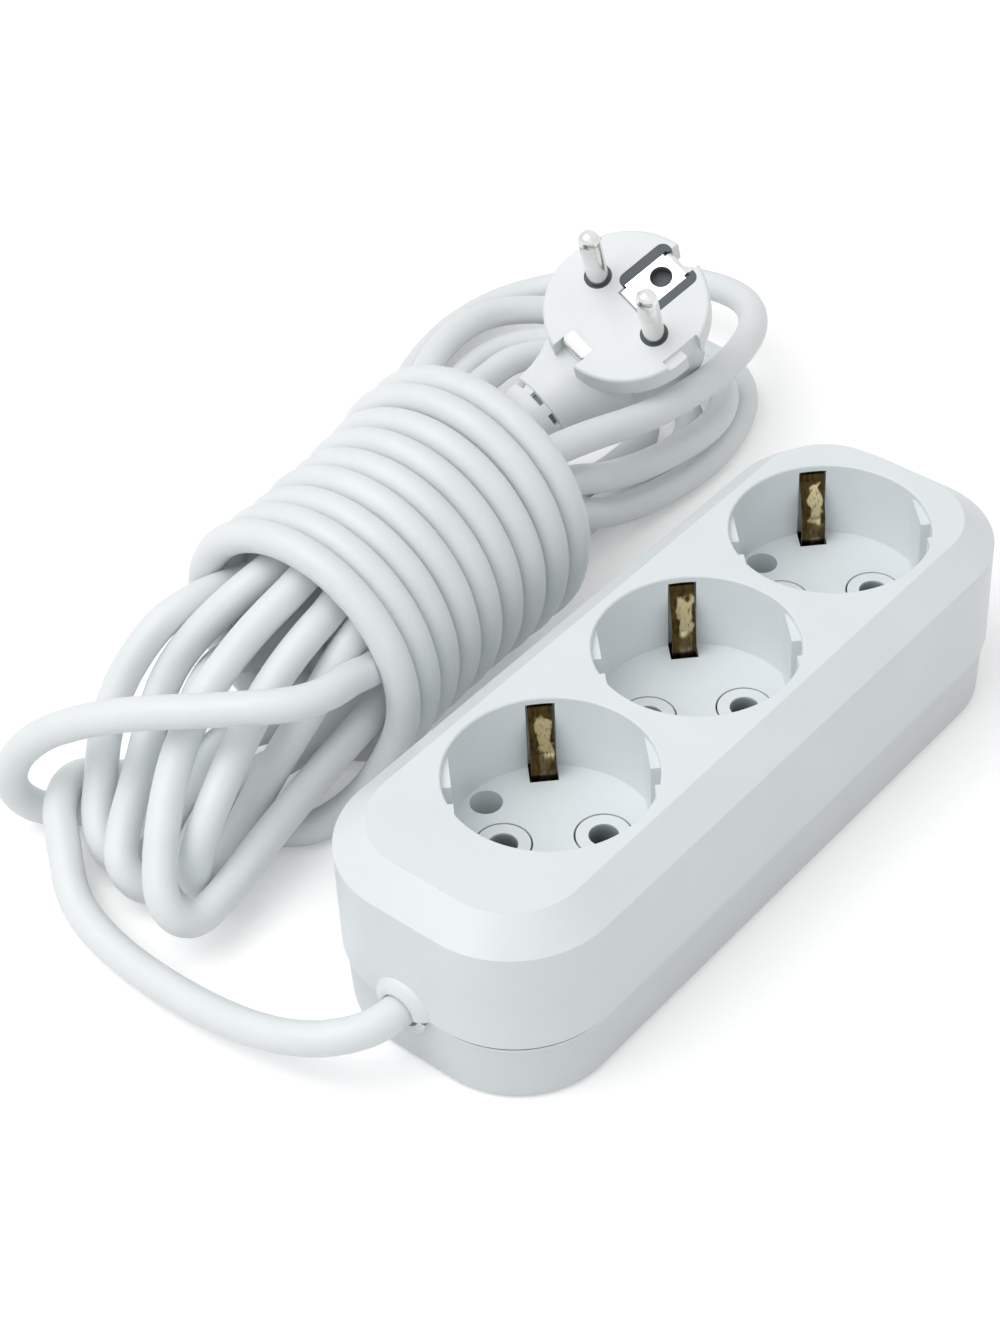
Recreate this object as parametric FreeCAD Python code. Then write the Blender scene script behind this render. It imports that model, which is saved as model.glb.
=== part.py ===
# Extension cord: a block of three sockets, an angled plug, and the cord between them, which is
# folded into a hank with its last turns wound round the waist.
#
# Millimetres, +Z up. The origin is the middle of the block's underside. The block lies along X and
# its cord leaves at the -X end. The hank lies on the floor beside the block, on the +Y side.
import FreeCAD
import Part
import math
import os

os.makedirs("parts", exist_ok=True)

V = FreeCAD.Vector

# The block's outside.
BLOCK_WIDTH = 57.5
BLOCK_HEIGHT = 43.5
NEAR_MARGIN = 41.5
SOCKET_PITCH = 44.5
FAR_MARGIN = 31.0
SOCKET_COUNT = 3
CORNER_RADIUS = 21.0
CHAMFER_IN = 6.3
CHAMFER_DOWN = 5.4
COVER_WALL = 2.2
PARTING_Z = 15.0

# The tray under the parting line, a little smaller than the cover.
PARTING_GAP = 0.4
TRAY_INSET_TOP = 0.6
TRAY_INSET_BOTTOM = 1.2
TRAY_EDGE_RADIUS = 1.5
TRAY_WALL = 2.0
TRAY_FLOOR = 2.2
TONGUE_CLEARANCE = 0.15
TONGUE_THICKNESS = 1.2
TONGUE_RISE = 2.0

# One socket. The pins lie on a line turned PIN_LINE_ANGLE from the block's long axis.
RECESS_RADIUS = 20.2
RECESS_DEPTH = 17.5
RIM_RADIUS = 0.4
CUP_WALL = 1.8
RECESS_FLOOR = 2.0
PIN_LINE_ANGLE = -45.0
PIN_SPACING = 19.0
PIN_HOLE_DIAMETER = 5.8
COLLAR_DIAMETER = 10.6
COLLAR_GAP = 0.4
GUIDE_CHORD = 18.4
GUIDE_LEDGE_DROP = 1.4
GUIDE_LEDGE_END = 0.2
GUIDE_LUG_START = 6.0

# The screws that hold the cover on the tray, through wells in the end recesses.
WELL_OFFSET = 16.4
WELL_DIAMETER = 6.4
WELL_WALL = 1.4
WELL_FLOOR_Z = 16.0
SCREW_SEAT = 2.0
SCREW_HEAD_DIAMETER = 5.8
SCREW_HEAD_HEIGHT = 2.2
SCREW_SHANK_DIAMETER = 3.0
SCREW_HOLE_CLEARANCE = 0.1
SCREW_LENGTH = 12.0
POST_WALL = 2.4

# Earth clips: sprung strips that stand in slots in the recess wall.
CLIP_WIDTH = 4.8
CLIP_THICKNESS = 0.8
CLIP_SLOT_GAP = 0.4
CLIP_SLOT_INNER = 15.8
CLIP_SLOT_BELOW_RIM = 1.4
CLIP_REST_RADIUS = 16.7
CLIP_TIP_RADIUS = 20.6
CLIP_TIP_DROP = 2.2
CLIP_ROOT_RADIUS = 19.0
CLIP_FOOT_LENGTH = 4.0
CLIP_BEND_RADIUS = 2.4
CLIP_SWING = 3.0
CLIP_SWING_GAP = 0.4

# Strips and contacts inside the block.
BAR_THICKNESS = 0.8
BAR_WIDTH = 8.0
BAR_Z = 4.0
BAR_HOLE_GAP = 0.2
PEG_DIAMETER = 2.4
PEG_RISE = 1.2
LEAF_WIDTH = 6.0
LEAF_THICKNESS = 0.7
LEAF_TOP_GAP = 1.0
LEAF_PINCH = 4.4
LEAF_ROOT_GAP = 5.6
LEAF_MOUTH_GAP = 6.2
LEAF_BEND_RADIUS = 1.2
EARTH_BAR_Z = 9.0
EARTH_BAR_WIDTH = 4.0
CARRIER_THICKNESS = 3.0
CARRIER_RADIUS = 15.0
CARRIER_WIDTH = 13.0
TOWER_BOTTOM_Z = 13.0
TOWER_WALL = 1.0
TOWER_GAP = 0.3
LEG_WIDTH = 2.4
LEG_LENGTH = 5.0

# The wound cord. Its own axes: S along the hank's waist towards the plug, T to the left of it.
# They are turned HANK_TURN about Z from the block's, and the waist's middle is over HANK_X, HANK_Y.
HANK_X = -2.25
HANK_Y = 73.0
HANK_TURN = 4.3
WRAP_RADIUS = 26.6
WRAP_PITCH = 7.25
WRAP_QUARTERS = 35
WRAP_START_S = 30.8

# The hank's loops through the winding: (row, column) in the order the cord runs through them.
# Rows go up at the waist, column 0 is beside its middle and column 1 outside that.
LOOPS = [(0, 0), (0, 1), (1, 1), (2, 1), (3, 1)]
HANK_ROWS = 4
HANK_STEP = 8.9
HANK_START_S = 27.0
BOW_LIFT = 0.2
BOW_STEP = 7.8
BOW_TOP_EXTRA = 0.9
# The half loops by the block: half width, middle T and reach for each column, then the shift
# and the extra reach of each row of the outer ones.
NEAR_MOUTH = 34.0
NEAR_WIDE_S = 54.0
NEAR_BOW = [(11.0, 2.0, 68.0), (22.5, 5.0, 79.5)]
NEAR_SHIFT = [0, 2.5, 5.5, 10.0]
NEAR_REACH = [-1.8, 1.5, 0.5, -3.5]
# The half loops round the plug: where each goes by on the right, at its end and on the left.
FAR_MOUTH = 31.0
FAR_RIGHT = [(80.0, -8.0, 3.6), (80.0, -17.0, 3.6), (80.0, -18.0, 11.9), (84.0, -20.0, 20.0),
             (84.0, -21.5, 29.0)]
FAR_APEX = [(113.0, 18.0, 3.6), (124.0, 20.0, 3.8), (124.5, 20.5, 11.9), (125.0, 21.0, 19.8),
            (137.0, 22.0, 19.0)]
FAR_LEFT = [(88.0, 46.0, 3.6), (90.0, 55.0, 11.35), (90.0, 55.5, 19.3), (90.0, 54.0, 27.3)]

# The cord and where it enters the block.
CORD_DIAMETER = 6.8
CORE_DIAMETER = 2.4
CORE_CIRCLE = 1.45
EXIT_Y = 2.0
EXIT_RADIUS = 4.1
EXIT_LIP_RADIUS = 5.8
EXIT_LIP = 0.6
SHEATH_INSIDE = 14.0
CLAMP_WIDTH = 6.0
CLAMP_HALF_LENGTH = 9.5
CLAMP_BITE = 0.2
CLAMP_TOP = 2.6
CLAMP_SCREW_OFFSET = 6.8
CLAMP_SCREW_DIAMETER = 2.4
CLAMP_HEAD_DIAMETER = 4.4
CLAMP_HEAD_HEIGHT = 1.6
CLAMP_SPLIT = 1.0

# The plug. Its own axes: U runs from pin to pin, V away from the cord, W out along the pins.
PLUG_FACE = V(78.5, 74.0, 51.0)
PLUG_W = V(-0.445, -0.224, 0.867)
PLUG_V = V(0.881, -0.285, 0.379)
PLUG_RADIUS = 18.2
PLUG_FLANGE = 7.0
PLUG_EDGE_RADIUS = 0.8
PLUG_BODY_WIDTH = 25.0
PLUG_BODY_DEPTH = 28.0
PLUG_BODY_CORNER = 6.0
PLUG_BODY_RADIUS = 4.0
SHOULDER_DIAMETER = 14.8
SHOULDER_START_V = 17.0
SHOULDER_END_V = 24.5
PLUG_NECK_W = -15.0
PLUG_NECK_DIAMETER = 12.6
PLUG_NECK_LENGTH = 35.0
PLUG_PIN_DIAMETER = 4.8
PLUG_PIN_LENGTH = 19.0
PLUG_PIN_REACH = 12.0
PIN_SHANK_DIAMETER = 4.0
PIN_STEP = 0.2
PIN_RING_DIAMETER = 6.2
PIN_RING_DEPTH = 0.3
PIN_TAIL_DIAMETER = 3.4
PIN_TAIL_LENGTH = 3.0
POCKET_HALF_WIDTH = 6.2
POCKET_V_IN = 2.3
POCKET_V_OUT = 16.0
POCKET_RADIUS = 2.0
POCKET_DROP = 0.2
PLATE_HALF_WIDTH = 4.0
PLATE_THICKNESS = 0.8
PLATE_V_IN = 0.6
PLATE_HOLE_V = 10.0
PLATE_HOLE_DIAMETER = 5.0
PLATE_HOLE_DEPTH = 3.0
EARTH_STRIP_WIDTH = 6.3
EARTH_STRIP_GAP = 0.35
EARTH_STRIP_THICKNESS = 0.8
EARTH_STRIP_V = 15.6
EARTH_STRIP_DOWN = 15.0
EARTH_TAB = 3.6
GROOVE_OPEN = 3.0
NOTCH_U = 15.8
NOTCH_V_IN = -3.0
NOTCH_V_STEP = 2.0
NOTCH_V_OUT = 6.5
NOTCH_STEP_DOWN = 1.2
RELIEF_SLOT_V = 26.0
RELIEF_SLOT_WIDTH = 2.0
RELIEF_SLOT_DEPTH = 2.2
RELIEF_BRIDGE = 3.0
BRIDGE_HALF_LENGTH = 11.6
BRIDGE_HALF_WIDTH = 4.5
BRIDGE_TOP_W = -4.0
BRIDGE_BOTTOM_W = -9.0
PLUG_SHEATH_IN = 22.0

# Sizes that follow from those above.
BLOCK_LENGTH = NEAR_MARGIN + SOCKET_PITCH * (SOCKET_COUNT - 1) + FAR_MARGIN
FLOOR_Z = BLOCK_HEIGHT - RECESS_DEPTH
FLOOR_UNDER_Z = FLOOR_Z - RECESS_FLOOR
SOCKET_X = [NEAR_MARGIN - BLOCK_LENGTH / 2 + SOCKET_PITCH * i for i in range(SOCKET_COUNT)]
SOCKET_NAMES = ["near", "middle", "far"]
CORD_RADIUS = CORD_DIAMETER / 2
PIN_OFFSET = PIN_SPACING / 2
PIN_X = PIN_OFFSET * math.cos(math.radians(PIN_LINE_ANGLE))
PIN_Y = PIN_OFFSET * math.sin(math.radians(PIN_LINE_ANGLE))
POST_TOP_Z = WELL_FLOOR_Z - SCREW_SEAT
LEAF_TOP_Z = FLOOR_UNDER_Z - CARRIER_THICKNESS - LEAF_TOP_GAP
SLOT_OUTER = CLIP_TIP_RADIUS + CLIP_THICKNESS / 2 + CLIP_SWING_GAP + math.sin(
    math.radians(CLIP_SWING)) * (BLOCK_HEIGHT - EARTH_BAR_Z)
BLOCK_END_X = -BLOCK_LENGTH / 2


def box(x0, x1, y0, y1, z0, z1):
    return Part.makeBox(x1 - x0, y1 - y0, z1 - z0, V(x0, y0, z0))


def rod(x, y, z0, z1, radius):
    return Part.makeCylinder(radius, z1 - z0, V(x, y, z0))


def fuse(shapes):
    whole = shapes[0].multiFuse(shapes[1:])
    return whole.removeSplitter()


def save(name, shape):
    shape.exportStep("parts/" + name + ".step")
    solids = shape.Solids
    volume = sum(s.Volume for s in solids)
    print(name, "solids", len(solids), "valid", shape.isValid(), "volume", round(volume, 1))


def outline(inset, z):
    """The block's outline seen from above, drawn in by inset, at height z."""
    x0 = -BLOCK_LENGTH / 2 + inset
    x1 = BLOCK_LENGTH / 2 - inset
    y1 = BLOCK_WIDTH / 2 - inset
    r = CORNER_RADIUS - inset
    c = r * math.sqrt(0.5)
    corners = [(x1 - r, y1 - r, 1, 1), (x0 + r, y1 - r, -1, 1),
               (x0 + r, r - y1, -1, -1), (x1 - r, r - y1, 1, -1)]
    edges = []
    last = None
    for cx, cy, sx, sy in corners:
        side = V(cx + sx * r, cy, z)
        end = V(cx, cy + sy * r, z)
        middle = V(cx + sx * c, cy + sy * c, z)
        first, second = (side, end) if sx * sy > 0 else (end, side)
        if last is not None and last.distanceToPoint(first) > 1e-6:
            edges.append(Part.LineSegment(last, first).toShape())
        edges.append(Part.Arc(first, middle, second).toShape())
        last = second
    edges.append(Part.LineSegment(last, V(x1, y1 - r, z)).toShape())
    return Part.Wire(edges)


def prism(inset, z0, z1):
    return Part.Face(outline(inset, z0)).extrude(V(0, 0, z1 - z0))


def taper(inset0, z0, inset1, z1):
    return Part.makeLoft([outline(inset0, z0), outline(inset1, z1)], True, True)


def at_socket(shape, x):
    """Turns a shape drawn with its pins on X, its earth clips on Y, and puts it at a socket."""
    turned = shape.copy()
    turned.rotate(V(0, 0, 0), V(0, 0, 1), PIN_LINE_ANGLE)
    turned.translate(V(x, 0, 0))
    return turned


def turned_profile(points, arc_middle):
    """A solid turned about Z from (radius, height) points, with one arc before the last two."""
    edges = []
    for i in range(len(points)):
        a = V(points[i][0], 0, points[i][1])
        b = points[(i + 1) % len(points)]
        b = V(b[0], 0, b[1])
        if i == 2:
            edges.append(Part.Arc(a, V(arc_middle[0], 0, arc_middle[1]), b).toShape())
        else:
            edges.append(Part.LineSegment(a, b).toShape())
    return Part.Face(Part.Wire(edges)).revolve(V(0, 0, 0), V(0, 0, 1), 360)


def strip(points, bend, thickness, width, origin, across, up, side):
    """A flat strip bent along (across, up) points with equal bends, its width along side."""
    def place(a, b):
        return origin + across * a + up * b

    left = []
    right = []
    count = len(points)
    dirs = []
    for i in range(count - 1):
        dx = points[i + 1][0] - points[i][0]
        dy = points[i + 1][1] - points[i][1]
        size = math.hypot(dx, dy)
        dirs.append((dx / size, dy / size))
    half = thickness / 2
    for edges, sign in ((left, 1), (right, -1)):
        d = dirs[0]
        last = (points[0][0] - d[1] * half * sign, points[0][1] + d[0] * half * sign)
        start = last
        for i in range(1, count - 1):
            d0 = dirs[i - 1]
            d1 = dirs[i]
            turn = math.atan2(d0[0] * d1[1] - d0[1] * d1[0], d0[0] * d1[0] + d0[1] * d1[1])
            back = bend * math.tan(abs(turn) / 2)
            hand = 1 if turn > 0 else -1
            px, py = points[i]
            ax = px - d0[0] * back
            ay = py - d0[1] * back
            cx = ax - d0[1] * bend * hand
            cy = ay + d0[0] * bend * hand
            reach = bend - sign * hand * half
            n0 = (d0[1] * hand, -d0[0] * hand)
            n1 = (d1[1] * hand, -d1[0] * hand)
            nm = (n0[0] + n1[0], n0[1] + n1[1])
            size = math.hypot(nm[0], nm[1])
            p0 = (cx + n0[0] * reach, cy + n0[1] * reach)
            pm = (cx + nm[0] / size * reach, cy + nm[1] / size * reach)
            p1 = (cx + n1[0] * reach, cy + n1[1] * reach)
            edges.append(Part.LineSegment(place(*last), place(*p0)).toShape())
            edges.append(Part.Arc(place(*p0), place(*pm), place(*p1)).toShape())
            last = p1
        d = dirs[-1]
        end = (points[-1][0] - d[1] * half * sign, points[-1][1] + d[0] * half * sign)
        edges.append(Part.LineSegment(place(*last), place(*end)).toShape())
        if sign == 1:
            left_start, left_end = start, end
        else:
            right_start, right_end = start, end
    caps = [Part.LineSegment(place(*left_end), place(*right_end)).toShape(),
            Part.LineSegment(place(*right_start), place(*left_start)).toShape()]
    wire = Part.Wire(Part.__sortEdges__(left + caps + right))
    face = Part.Face(wire)
    face.translate(side * (-width / 2))
    return face.extrude(side * width)


# the block's cover
slope = CHAMFER_DOWN / CHAMFER_IN
slant = COVER_WALL * math.hypot(CHAMFER_IN, CHAMFER_DOWN) / CHAMFER_IN
shoulder_z = BLOCK_HEIGHT - CHAMFER_DOWN
inner_shoulder_z = shoulder_z - slant + slope * COVER_WALL
inner_top_z = BLOCK_HEIGHT - COVER_WALL
inner_top_inset = (inner_top_z - shoulder_z + slant) / slope
outside = fuse([prism(0, PARTING_Z, shoulder_z), taper(0, shoulder_z, CHAMFER_IN, BLOCK_HEIGHT)])
inside = fuse([prism(COVER_WALL, PARTING_Z - 1, inner_shoulder_z),
               taper(COVER_WALL, inner_shoulder_z, inner_top_inset, inner_top_z)])
cover = outside.cut(inside)

slot_half = CLIP_WIDTH / 2 + CLIP_SLOT_GAP
slot_top_z = BLOCK_HEIGHT - CLIP_SLOT_BELOW_RIM
well_radius = WELL_DIAMETER / 2
pillars = []
for x in SOCKET_X:
    pillars.append(rod(x, 0, FLOOR_UNDER_Z, BLOCK_HEIGHT - COVER_WALL / 2, RECESS_RADIUS + CUP_WALL))
    wall = box(-slot_half - CUP_WALL, slot_half + CUP_WALL, -SLOT_OUTER - CUP_WALL,
               SLOT_OUTER + CUP_WALL, FLOOR_UNDER_Z, BLOCK_HEIGHT - COVER_WALL / 2)
    pillars.append(at_socket(wall, x))
screw_spots = []
for x in (SOCKET_X[0], SOCKET_X[-1]):
    for side in (-1, 1):
        screw_spots.append((x, side * WELL_OFFSET))
for x, y in screw_spots:
    pillars.append(rod(x, y, POST_TOP_Z, FLOOR_Z, well_radius + WELL_WALL))
cover = fuse([cover] + pillars)

cuts = []
for x in SOCKET_X:
    rim = RECESS_RADIUS + RIM_RADIUS
    bend = RIM_RADIUS * math.sqrt(0.5)
    recess = turned_profile(
        [(0, FLOOR_Z), (RECESS_RADIUS, FLOOR_Z), (RECESS_RADIUS, BLOCK_HEIGHT - RIM_RADIUS),
         (rim, BLOCK_HEIGHT), (rim, BLOCK_HEIGHT + 1), (0, BLOCK_HEIGHT + 1)],
        (rim - bend, BLOCK_HEIGHT - RIM_RADIUS + bend))
    ledge = box(GUIDE_CHORD, RECESS_RADIUS + 2, -GUIDE_LEDGE_END, RECESS_RADIUS,
                FLOOR_Z - 1, BLOCK_HEIGHT - GUIDE_LEDGE_DROP)
    lug = box(GUIDE_CHORD, RECESS_RADIUS + 2, -RECESS_RADIUS, -GUIDE_LUG_START,
              FLOOR_Z - 1, BLOCK_HEIGHT + 2)
    for guide in (ledge, lug):
        recess = recess.cut(guide).cut(guide.mirror(V(0, 0, 0), V(1, 0, 0)))
    cuts.append(at_socket(recess, x))
    slots = box(-slot_half, slot_half, -SLOT_OUTER, SLOT_OUTER, FLOOR_UNDER_Z - 1, slot_top_z)
    middle = box(-slot_half, slot_half, -CLIP_SLOT_INNER, CLIP_SLOT_INNER,
                 FLOOR_UNDER_Z - 2, FLOOR_Z)
    cuts.append(at_socket(slots.cut(middle), x))
    for side in (-1, 1):
        cuts.append(rod(x + side * PIN_X, side * PIN_Y, FLOOR_UNDER_Z - 1, FLOOR_Z + 1,
                        COLLAR_DIAMETER / 2 + COLLAR_GAP))
for x, y in screw_spots:
    cuts.append(rod(x, y, WELL_FLOOR_Z, FLOOR_Z + 1, well_radius))
    cuts.append(rod(x, y, POST_TOP_Z - 1, WELL_FLOOR_Z + 1,
                    SCREW_SHANK_DIAMETER / 2 + SCREW_HOLE_CLEARANCE))
for cut in cuts:
    cover = cover.cut(cut)
lip = Part.makeCylinder(EXIT_LIP_RADIUS, EXIT_LIP + COVER_WALL,
                        V(BLOCK_END_X - EXIT_LIP, EXIT_Y, PARTING_Z), V(1, 0, 0))
hole = Part.makeCylinder(EXIT_RADIUS, EXIT_LIP + 4 * COVER_WALL,
                         V(BLOCK_END_X - EXIT_LIP - 1, EXIT_Y, PARTING_Z), V(1, 0, 0))
far = 2 * BLOCK_LENGTH
upper = box(-far, far, -far, far, PARTING_Z, far)
lower = box(-far, far, -far, far, -far, PARTING_Z - PARTING_GAP)
cover = fuse([cover, lip.common(upper)]).cut(hole)
save("top_cover", cover)

# the tray under it
tray_top_z = PARTING_Z - PARTING_GAP
tray = taper(TRAY_INSET_BOTTOM, 0, TRAY_INSET_TOP, tray_top_z)
bottom_edges = [e for e in tray.Edges if e.BoundBox.ZMax < 0.01]
tray = tray.makeFillet(TRAY_EDGE_RADIUS, bottom_edges)
tray_inner = TRAY_INSET_BOTTOM + TRAY_WALL
tray = tray.cut(prism(tray_inner, TRAY_FLOOR, PARTING_Z))
tongue_outer = COVER_WALL + TONGUE_CLEARANCE
tongue = prism(tongue_outer, TRAY_FLOOR - 1, PARTING_Z + TONGUE_RISE)
tongue = tongue.cut(prism(tongue_outer + TONGUE_THICKNESS, TRAY_FLOOR, PARTING_Z + TONGUE_RISE + 1))
posts = [tray, tongue]
for x, y in screw_spots:
    posts.append(rod(x, y, TRAY_FLOOR / 2, POST_TOP_Z, SCREW_SHANK_DIAMETER / 2 + POST_WALL))
peg_spots = []
for i in range(SOCKET_COUNT - 1):
    x = (SOCKET_X[i] + SOCKET_X[i + 1]) / 2
    for side in (-1, 1):
        peg_spots.append((x, side * PIN_Y))
for x, y in peg_spots:
    posts.append(box(x - BAR_WIDTH / 2, x + BAR_WIDTH / 2, y - BAR_WIDTH / 2, y + BAR_WIDTH / 2,
                     TRAY_FLOOR / 2, BAR_Z))
    posts.append(rod(x, y, BAR_Z - 1, BAR_Z + BAR_THICKNESS + PEG_RISE, PEG_DIAMETER / 2))
for i in range(SOCKET_COUNT - 1):
    x = (SOCKET_X[i] + SOCKET_X[i + 1]) / 2
    posts.append(box(x - EARTH_BAR_WIDTH, x + EARTH_BAR_WIDTH, -EARTH_BAR_WIDTH / 2,
                     EARTH_BAR_WIDTH / 2, TRAY_FLOOR / 2, EARTH_BAR_Z))
for x in SOCKET_X:
    posts.append(box(x - LEAF_WIDTH, x + LEAF_WIDTH, -1.0, 1.0, TRAY_FLOOR / 2, EARTH_BAR_Z))
    for side in (-1, 1):
        px = x + side * PIN_X
        py = side * PIN_Y
        posts.append(box(px - LEAF_WIDTH / 2, px + LEAF_WIDTH / 2, py - BAR_WIDTH / 2,
                         py + BAR_WIDTH / 2, TRAY_FLOOR / 2, BAR_Z))

# The cradle for the cord, just inside the exit, with two screw bosses for the clamp.
clamp_x = BLOCK_END_X + tongue_outer + TONGUE_THICKNESS + CLAMP_WIDTH / 2 + 1.5
cradle_top = PARTING_Z - CLAMP_SPLIT / 2
posts.append(box(clamp_x - CLAMP_WIDTH / 2, clamp_x + CLAMP_WIDTH / 2, EXIT_Y - CLAMP_HALF_LENGTH,
                 EXIT_Y + CLAMP_HALF_LENGTH, TRAY_FLOOR / 2, cradle_top))
tray = fuse(posts)
tray = fuse([tray, lip.common(lower)]).cut(hole)
grip = Part.makeCylinder(CORD_RADIUS - CLAMP_BITE, CLAMP_WIDTH + 2,
                         V(clamp_x - CLAMP_WIDTH / 2 - 1, EXIT_Y, PARTING_Z), V(1, 0, 0))
tray = tray.cut(grip)
for x, y in screw_spots:
    tray = tray.cut(rod(x, y, TRAY_FLOOR, POST_TOP_Z + 1,
                        SCREW_SHANK_DIAMETER / 2 + SCREW_HOLE_CLEARANCE))
clamp_spots = [(clamp_x, EXIT_Y - CLAMP_SCREW_OFFSET), (clamp_x, EXIT_Y + CLAMP_SCREW_OFFSET)]
clamp_screw_end = PARTING_Z - SCREW_LENGTH * 0.6
for x, y in clamp_spots:
    tray = tray.cut(rod(x, y, clamp_screw_end - 1, PARTING_Z,
                        CLAMP_SCREW_DIAMETER / 2 + SCREW_HOLE_CLEARANCE))
save("base_tray", tray)

# the clamp over the cord, and its screws
clamp_z0 = PARTING_Z + CLAMP_SPLIT / 2
clamp_z1 = PARTING_Z + CORD_RADIUS + CLAMP_TOP
clamp = box(clamp_x - CLAMP_WIDTH / 2, clamp_x + CLAMP_WIDTH / 2, EXIT_Y - CLAMP_HALF_LENGTH,
            EXIT_Y + CLAMP_HALF_LENGTH, clamp_z0, clamp_z1)
clamp = clamp.makeFillet(1.2, [e for e in clamp.Edges if e.BoundBox.ZMin > clamp_z1 - 0.01
                               and e.BoundBox.YLength < 0.01])
clamp = clamp.cut(grip)
for x, y in clamp_spots:
    clamp = clamp.cut(rod(x, y, clamp_z0 - 1, clamp_z1 + 1,
                          CLAMP_SCREW_DIAMETER / 2 + SCREW_HOLE_CLEARANCE))
save("cord_clamp", clamp)


def screw(x, y, seat_z, length, shank, head, head_height):
    """A pan-head screw with a crossed slot, its head sitting on seat_z."""
    slot = head * 0.16
    body = rod(x, y, seat_z - length, seat_z + 0.1, shank / 2)
    top = rod(x, y, seat_z, seat_z + head_height, head / 2)
    top = top.makeFillet(head_height * 0.45, [e for e in top.Edges
                                             if e.BoundBox.ZMin > seat_z + head_height - 0.01])
    whole = fuse([body, top])
    reach = head * 0.3
    low = seat_z + head_height * 0.45
    high = seat_z + head_height + 1
    return whole.cut(box(x - reach, x + reach, y - slot / 2, y + slot / 2, low, high)).cut(
        box(x - slot / 2, x + slot / 2, y - reach, y + reach, low, high))


save("case_screws", Part.makeCompound([
    screw(x, y, WELL_FLOOR_Z, SCREW_LENGTH, SCREW_SHANK_DIAMETER, SCREW_HEAD_DIAMETER,
          SCREW_HEAD_HEIGHT) for x, y in screw_spots]))
save("clamp_screws", Part.makeCompound([
    screw(x, y, clamp_z1, clamp_z1 - clamp_screw_end, CLAMP_SCREW_DIAMETER, CLAMP_HEAD_DIAMETER,
          CLAMP_HEAD_HEIGHT) for x, y in clamp_spots]))

# live and neutral bars with their leaf contacts
terminal_x = SOCKET_X[0] - CARRIER_RADIUS - 3
leaf_path = [(LEAF_ROOT_GAP / 2, BAR_Z + BAR_THICKNESS / 2),
             (LEAF_ROOT_GAP / 2 + LEAF_THICKNESS / 2, LEAF_TOP_Z - 8),
             (LEAF_PINCH / 2 + LEAF_THICKNESS / 2, LEAF_TOP_Z - 3),
             (LEAF_MOUTH_GAP / 2 + LEAF_THICKNESS / 2, LEAF_TOP_Z)]


def bar(side):
    """A flat strip along the block with a pair of leaves for each pin on its side."""
    y = side * PIN_Y
    last_x = SOCKET_X[-1] + side * PIN_X + LEAF_WIDTH / 2
    pieces = [box(terminal_x, last_x, y - BAR_WIDTH / 2, y + BAR_WIDTH / 2, BAR_Z,
                  BAR_Z + BAR_THICKNESS)]
    for x in SOCKET_X:
        for hand in (-1, 1):
            pieces.append(strip(leaf_path, LEAF_BEND_RADIUS, LEAF_THICKNESS, LEAF_WIDTH,
                                V(x + side * PIN_X, y, 0), V(0, hand, 0), V(0, 0, 1), V(1, 0, 0)))
    whole = fuse(pieces)
    for px, py in peg_spots:
        if py * y > 0:
            whole = whole.cut(rod(px, py, BAR_Z - 1, BAR_Z + BAR_THICKNESS + 1,
                                  PEG_DIAMETER / 2 + BAR_HOLE_GAP))
    return whole




def path_edges(points, name):
    """Straight runs joined by arcs as large as the runs allow; prints the arcs' radii."""
    edges = []
    last = points[0]
    radii = []
    for i in range(1, len(points) - 1):
        a = points[i] - points[i - 1]
        b = points[i + 1] - points[i]
        run = min(a.Length, b.Length)
        a.normalize()
        b.normalize()
        turn = a.getAngle(b)
        radius = 0.45 * run / math.tan(turn / 2)
        radii.append(round(radius, 1))
        back = 0.45 * run
        p0 = points[i] - a * back
        p1 = points[i] + b * back
        inward = (b - a).normalize()
        centre = points[i] + inward * (radius / math.cos(turn / 2))
        pm = centre - inward * radius
        edges.append(Part.LineSegment(last, p0).toShape())
        edges.append(Part.Arc(p0, pm, p1).toShape())
        last = p1
    edges.append(Part.LineSegment(last, points[-1]).toShape())
    print(name, "arc radii", radii)
    return edges


def tube(points, diameter, name):
    """A round tube along a route, its volume compared with its section times its length."""
    wire = Part.Wire(path_edges(points, name))
    start = points[1] - points[0]
    circle = Part.Wire([Part.makeCircle(diameter / 2, points[0], start)])
    solid = wire.makePipeShell([circle], True, False)
    ideal = math.pi * diameter ** 2 / 4 * wire.Length
    print(name, "length", round(wire.Length, 1), "volume ratio", round(solid.Volume / ideal, 4))
    return solid


# the earth bar, the clips on it, and the carriers round the contacts
core_radius = CORE_DIAMETER / 2
sheath_end_x = BLOCK_END_X + SHEATH_INSIDE
barrel_wall = 0.6
barrel_length = 5.0


def barrel(y, bar_top):
    """The crimped end of a bar: a short tube along X for one core."""
    z = bar_top + core_radius + barrel_wall / 2
    return (Part.makeCylinder(core_radius + barrel_wall, barrel_length, V(terminal_x, y, z),
                              V(1, 0, 0)),
            Part.makeCylinder(core_radius, barrel_length + 1, V(terminal_x - 1, y, z),
                              V(1, 0, 0)), z)


earth_top = EARTH_BAR_Z + BAR_THICKNESS
half = EARTH_BAR_WIDTH / 2
earth_pieces = [box(terminal_x, SOCKET_X[-1] + half, -half, half, EARTH_BAR_Z, earth_top)]
for x in SOCKET_X:
    arm = box(-CLIP_WIDTH / 2, CLIP_WIDTH / 2, -CLIP_ROOT_RADIUS, CLIP_ROOT_RADIUS,
              EARTH_BAR_Z, earth_top)
    earth_pieces.append(at_socket(arm, x))
barrel_solid, barrel_bore, earth_core_z = barrel(0, earth_top)
save("earth_bar", fuse(earth_pieces + [barrel_solid]).cut(barrel_bore))

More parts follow.
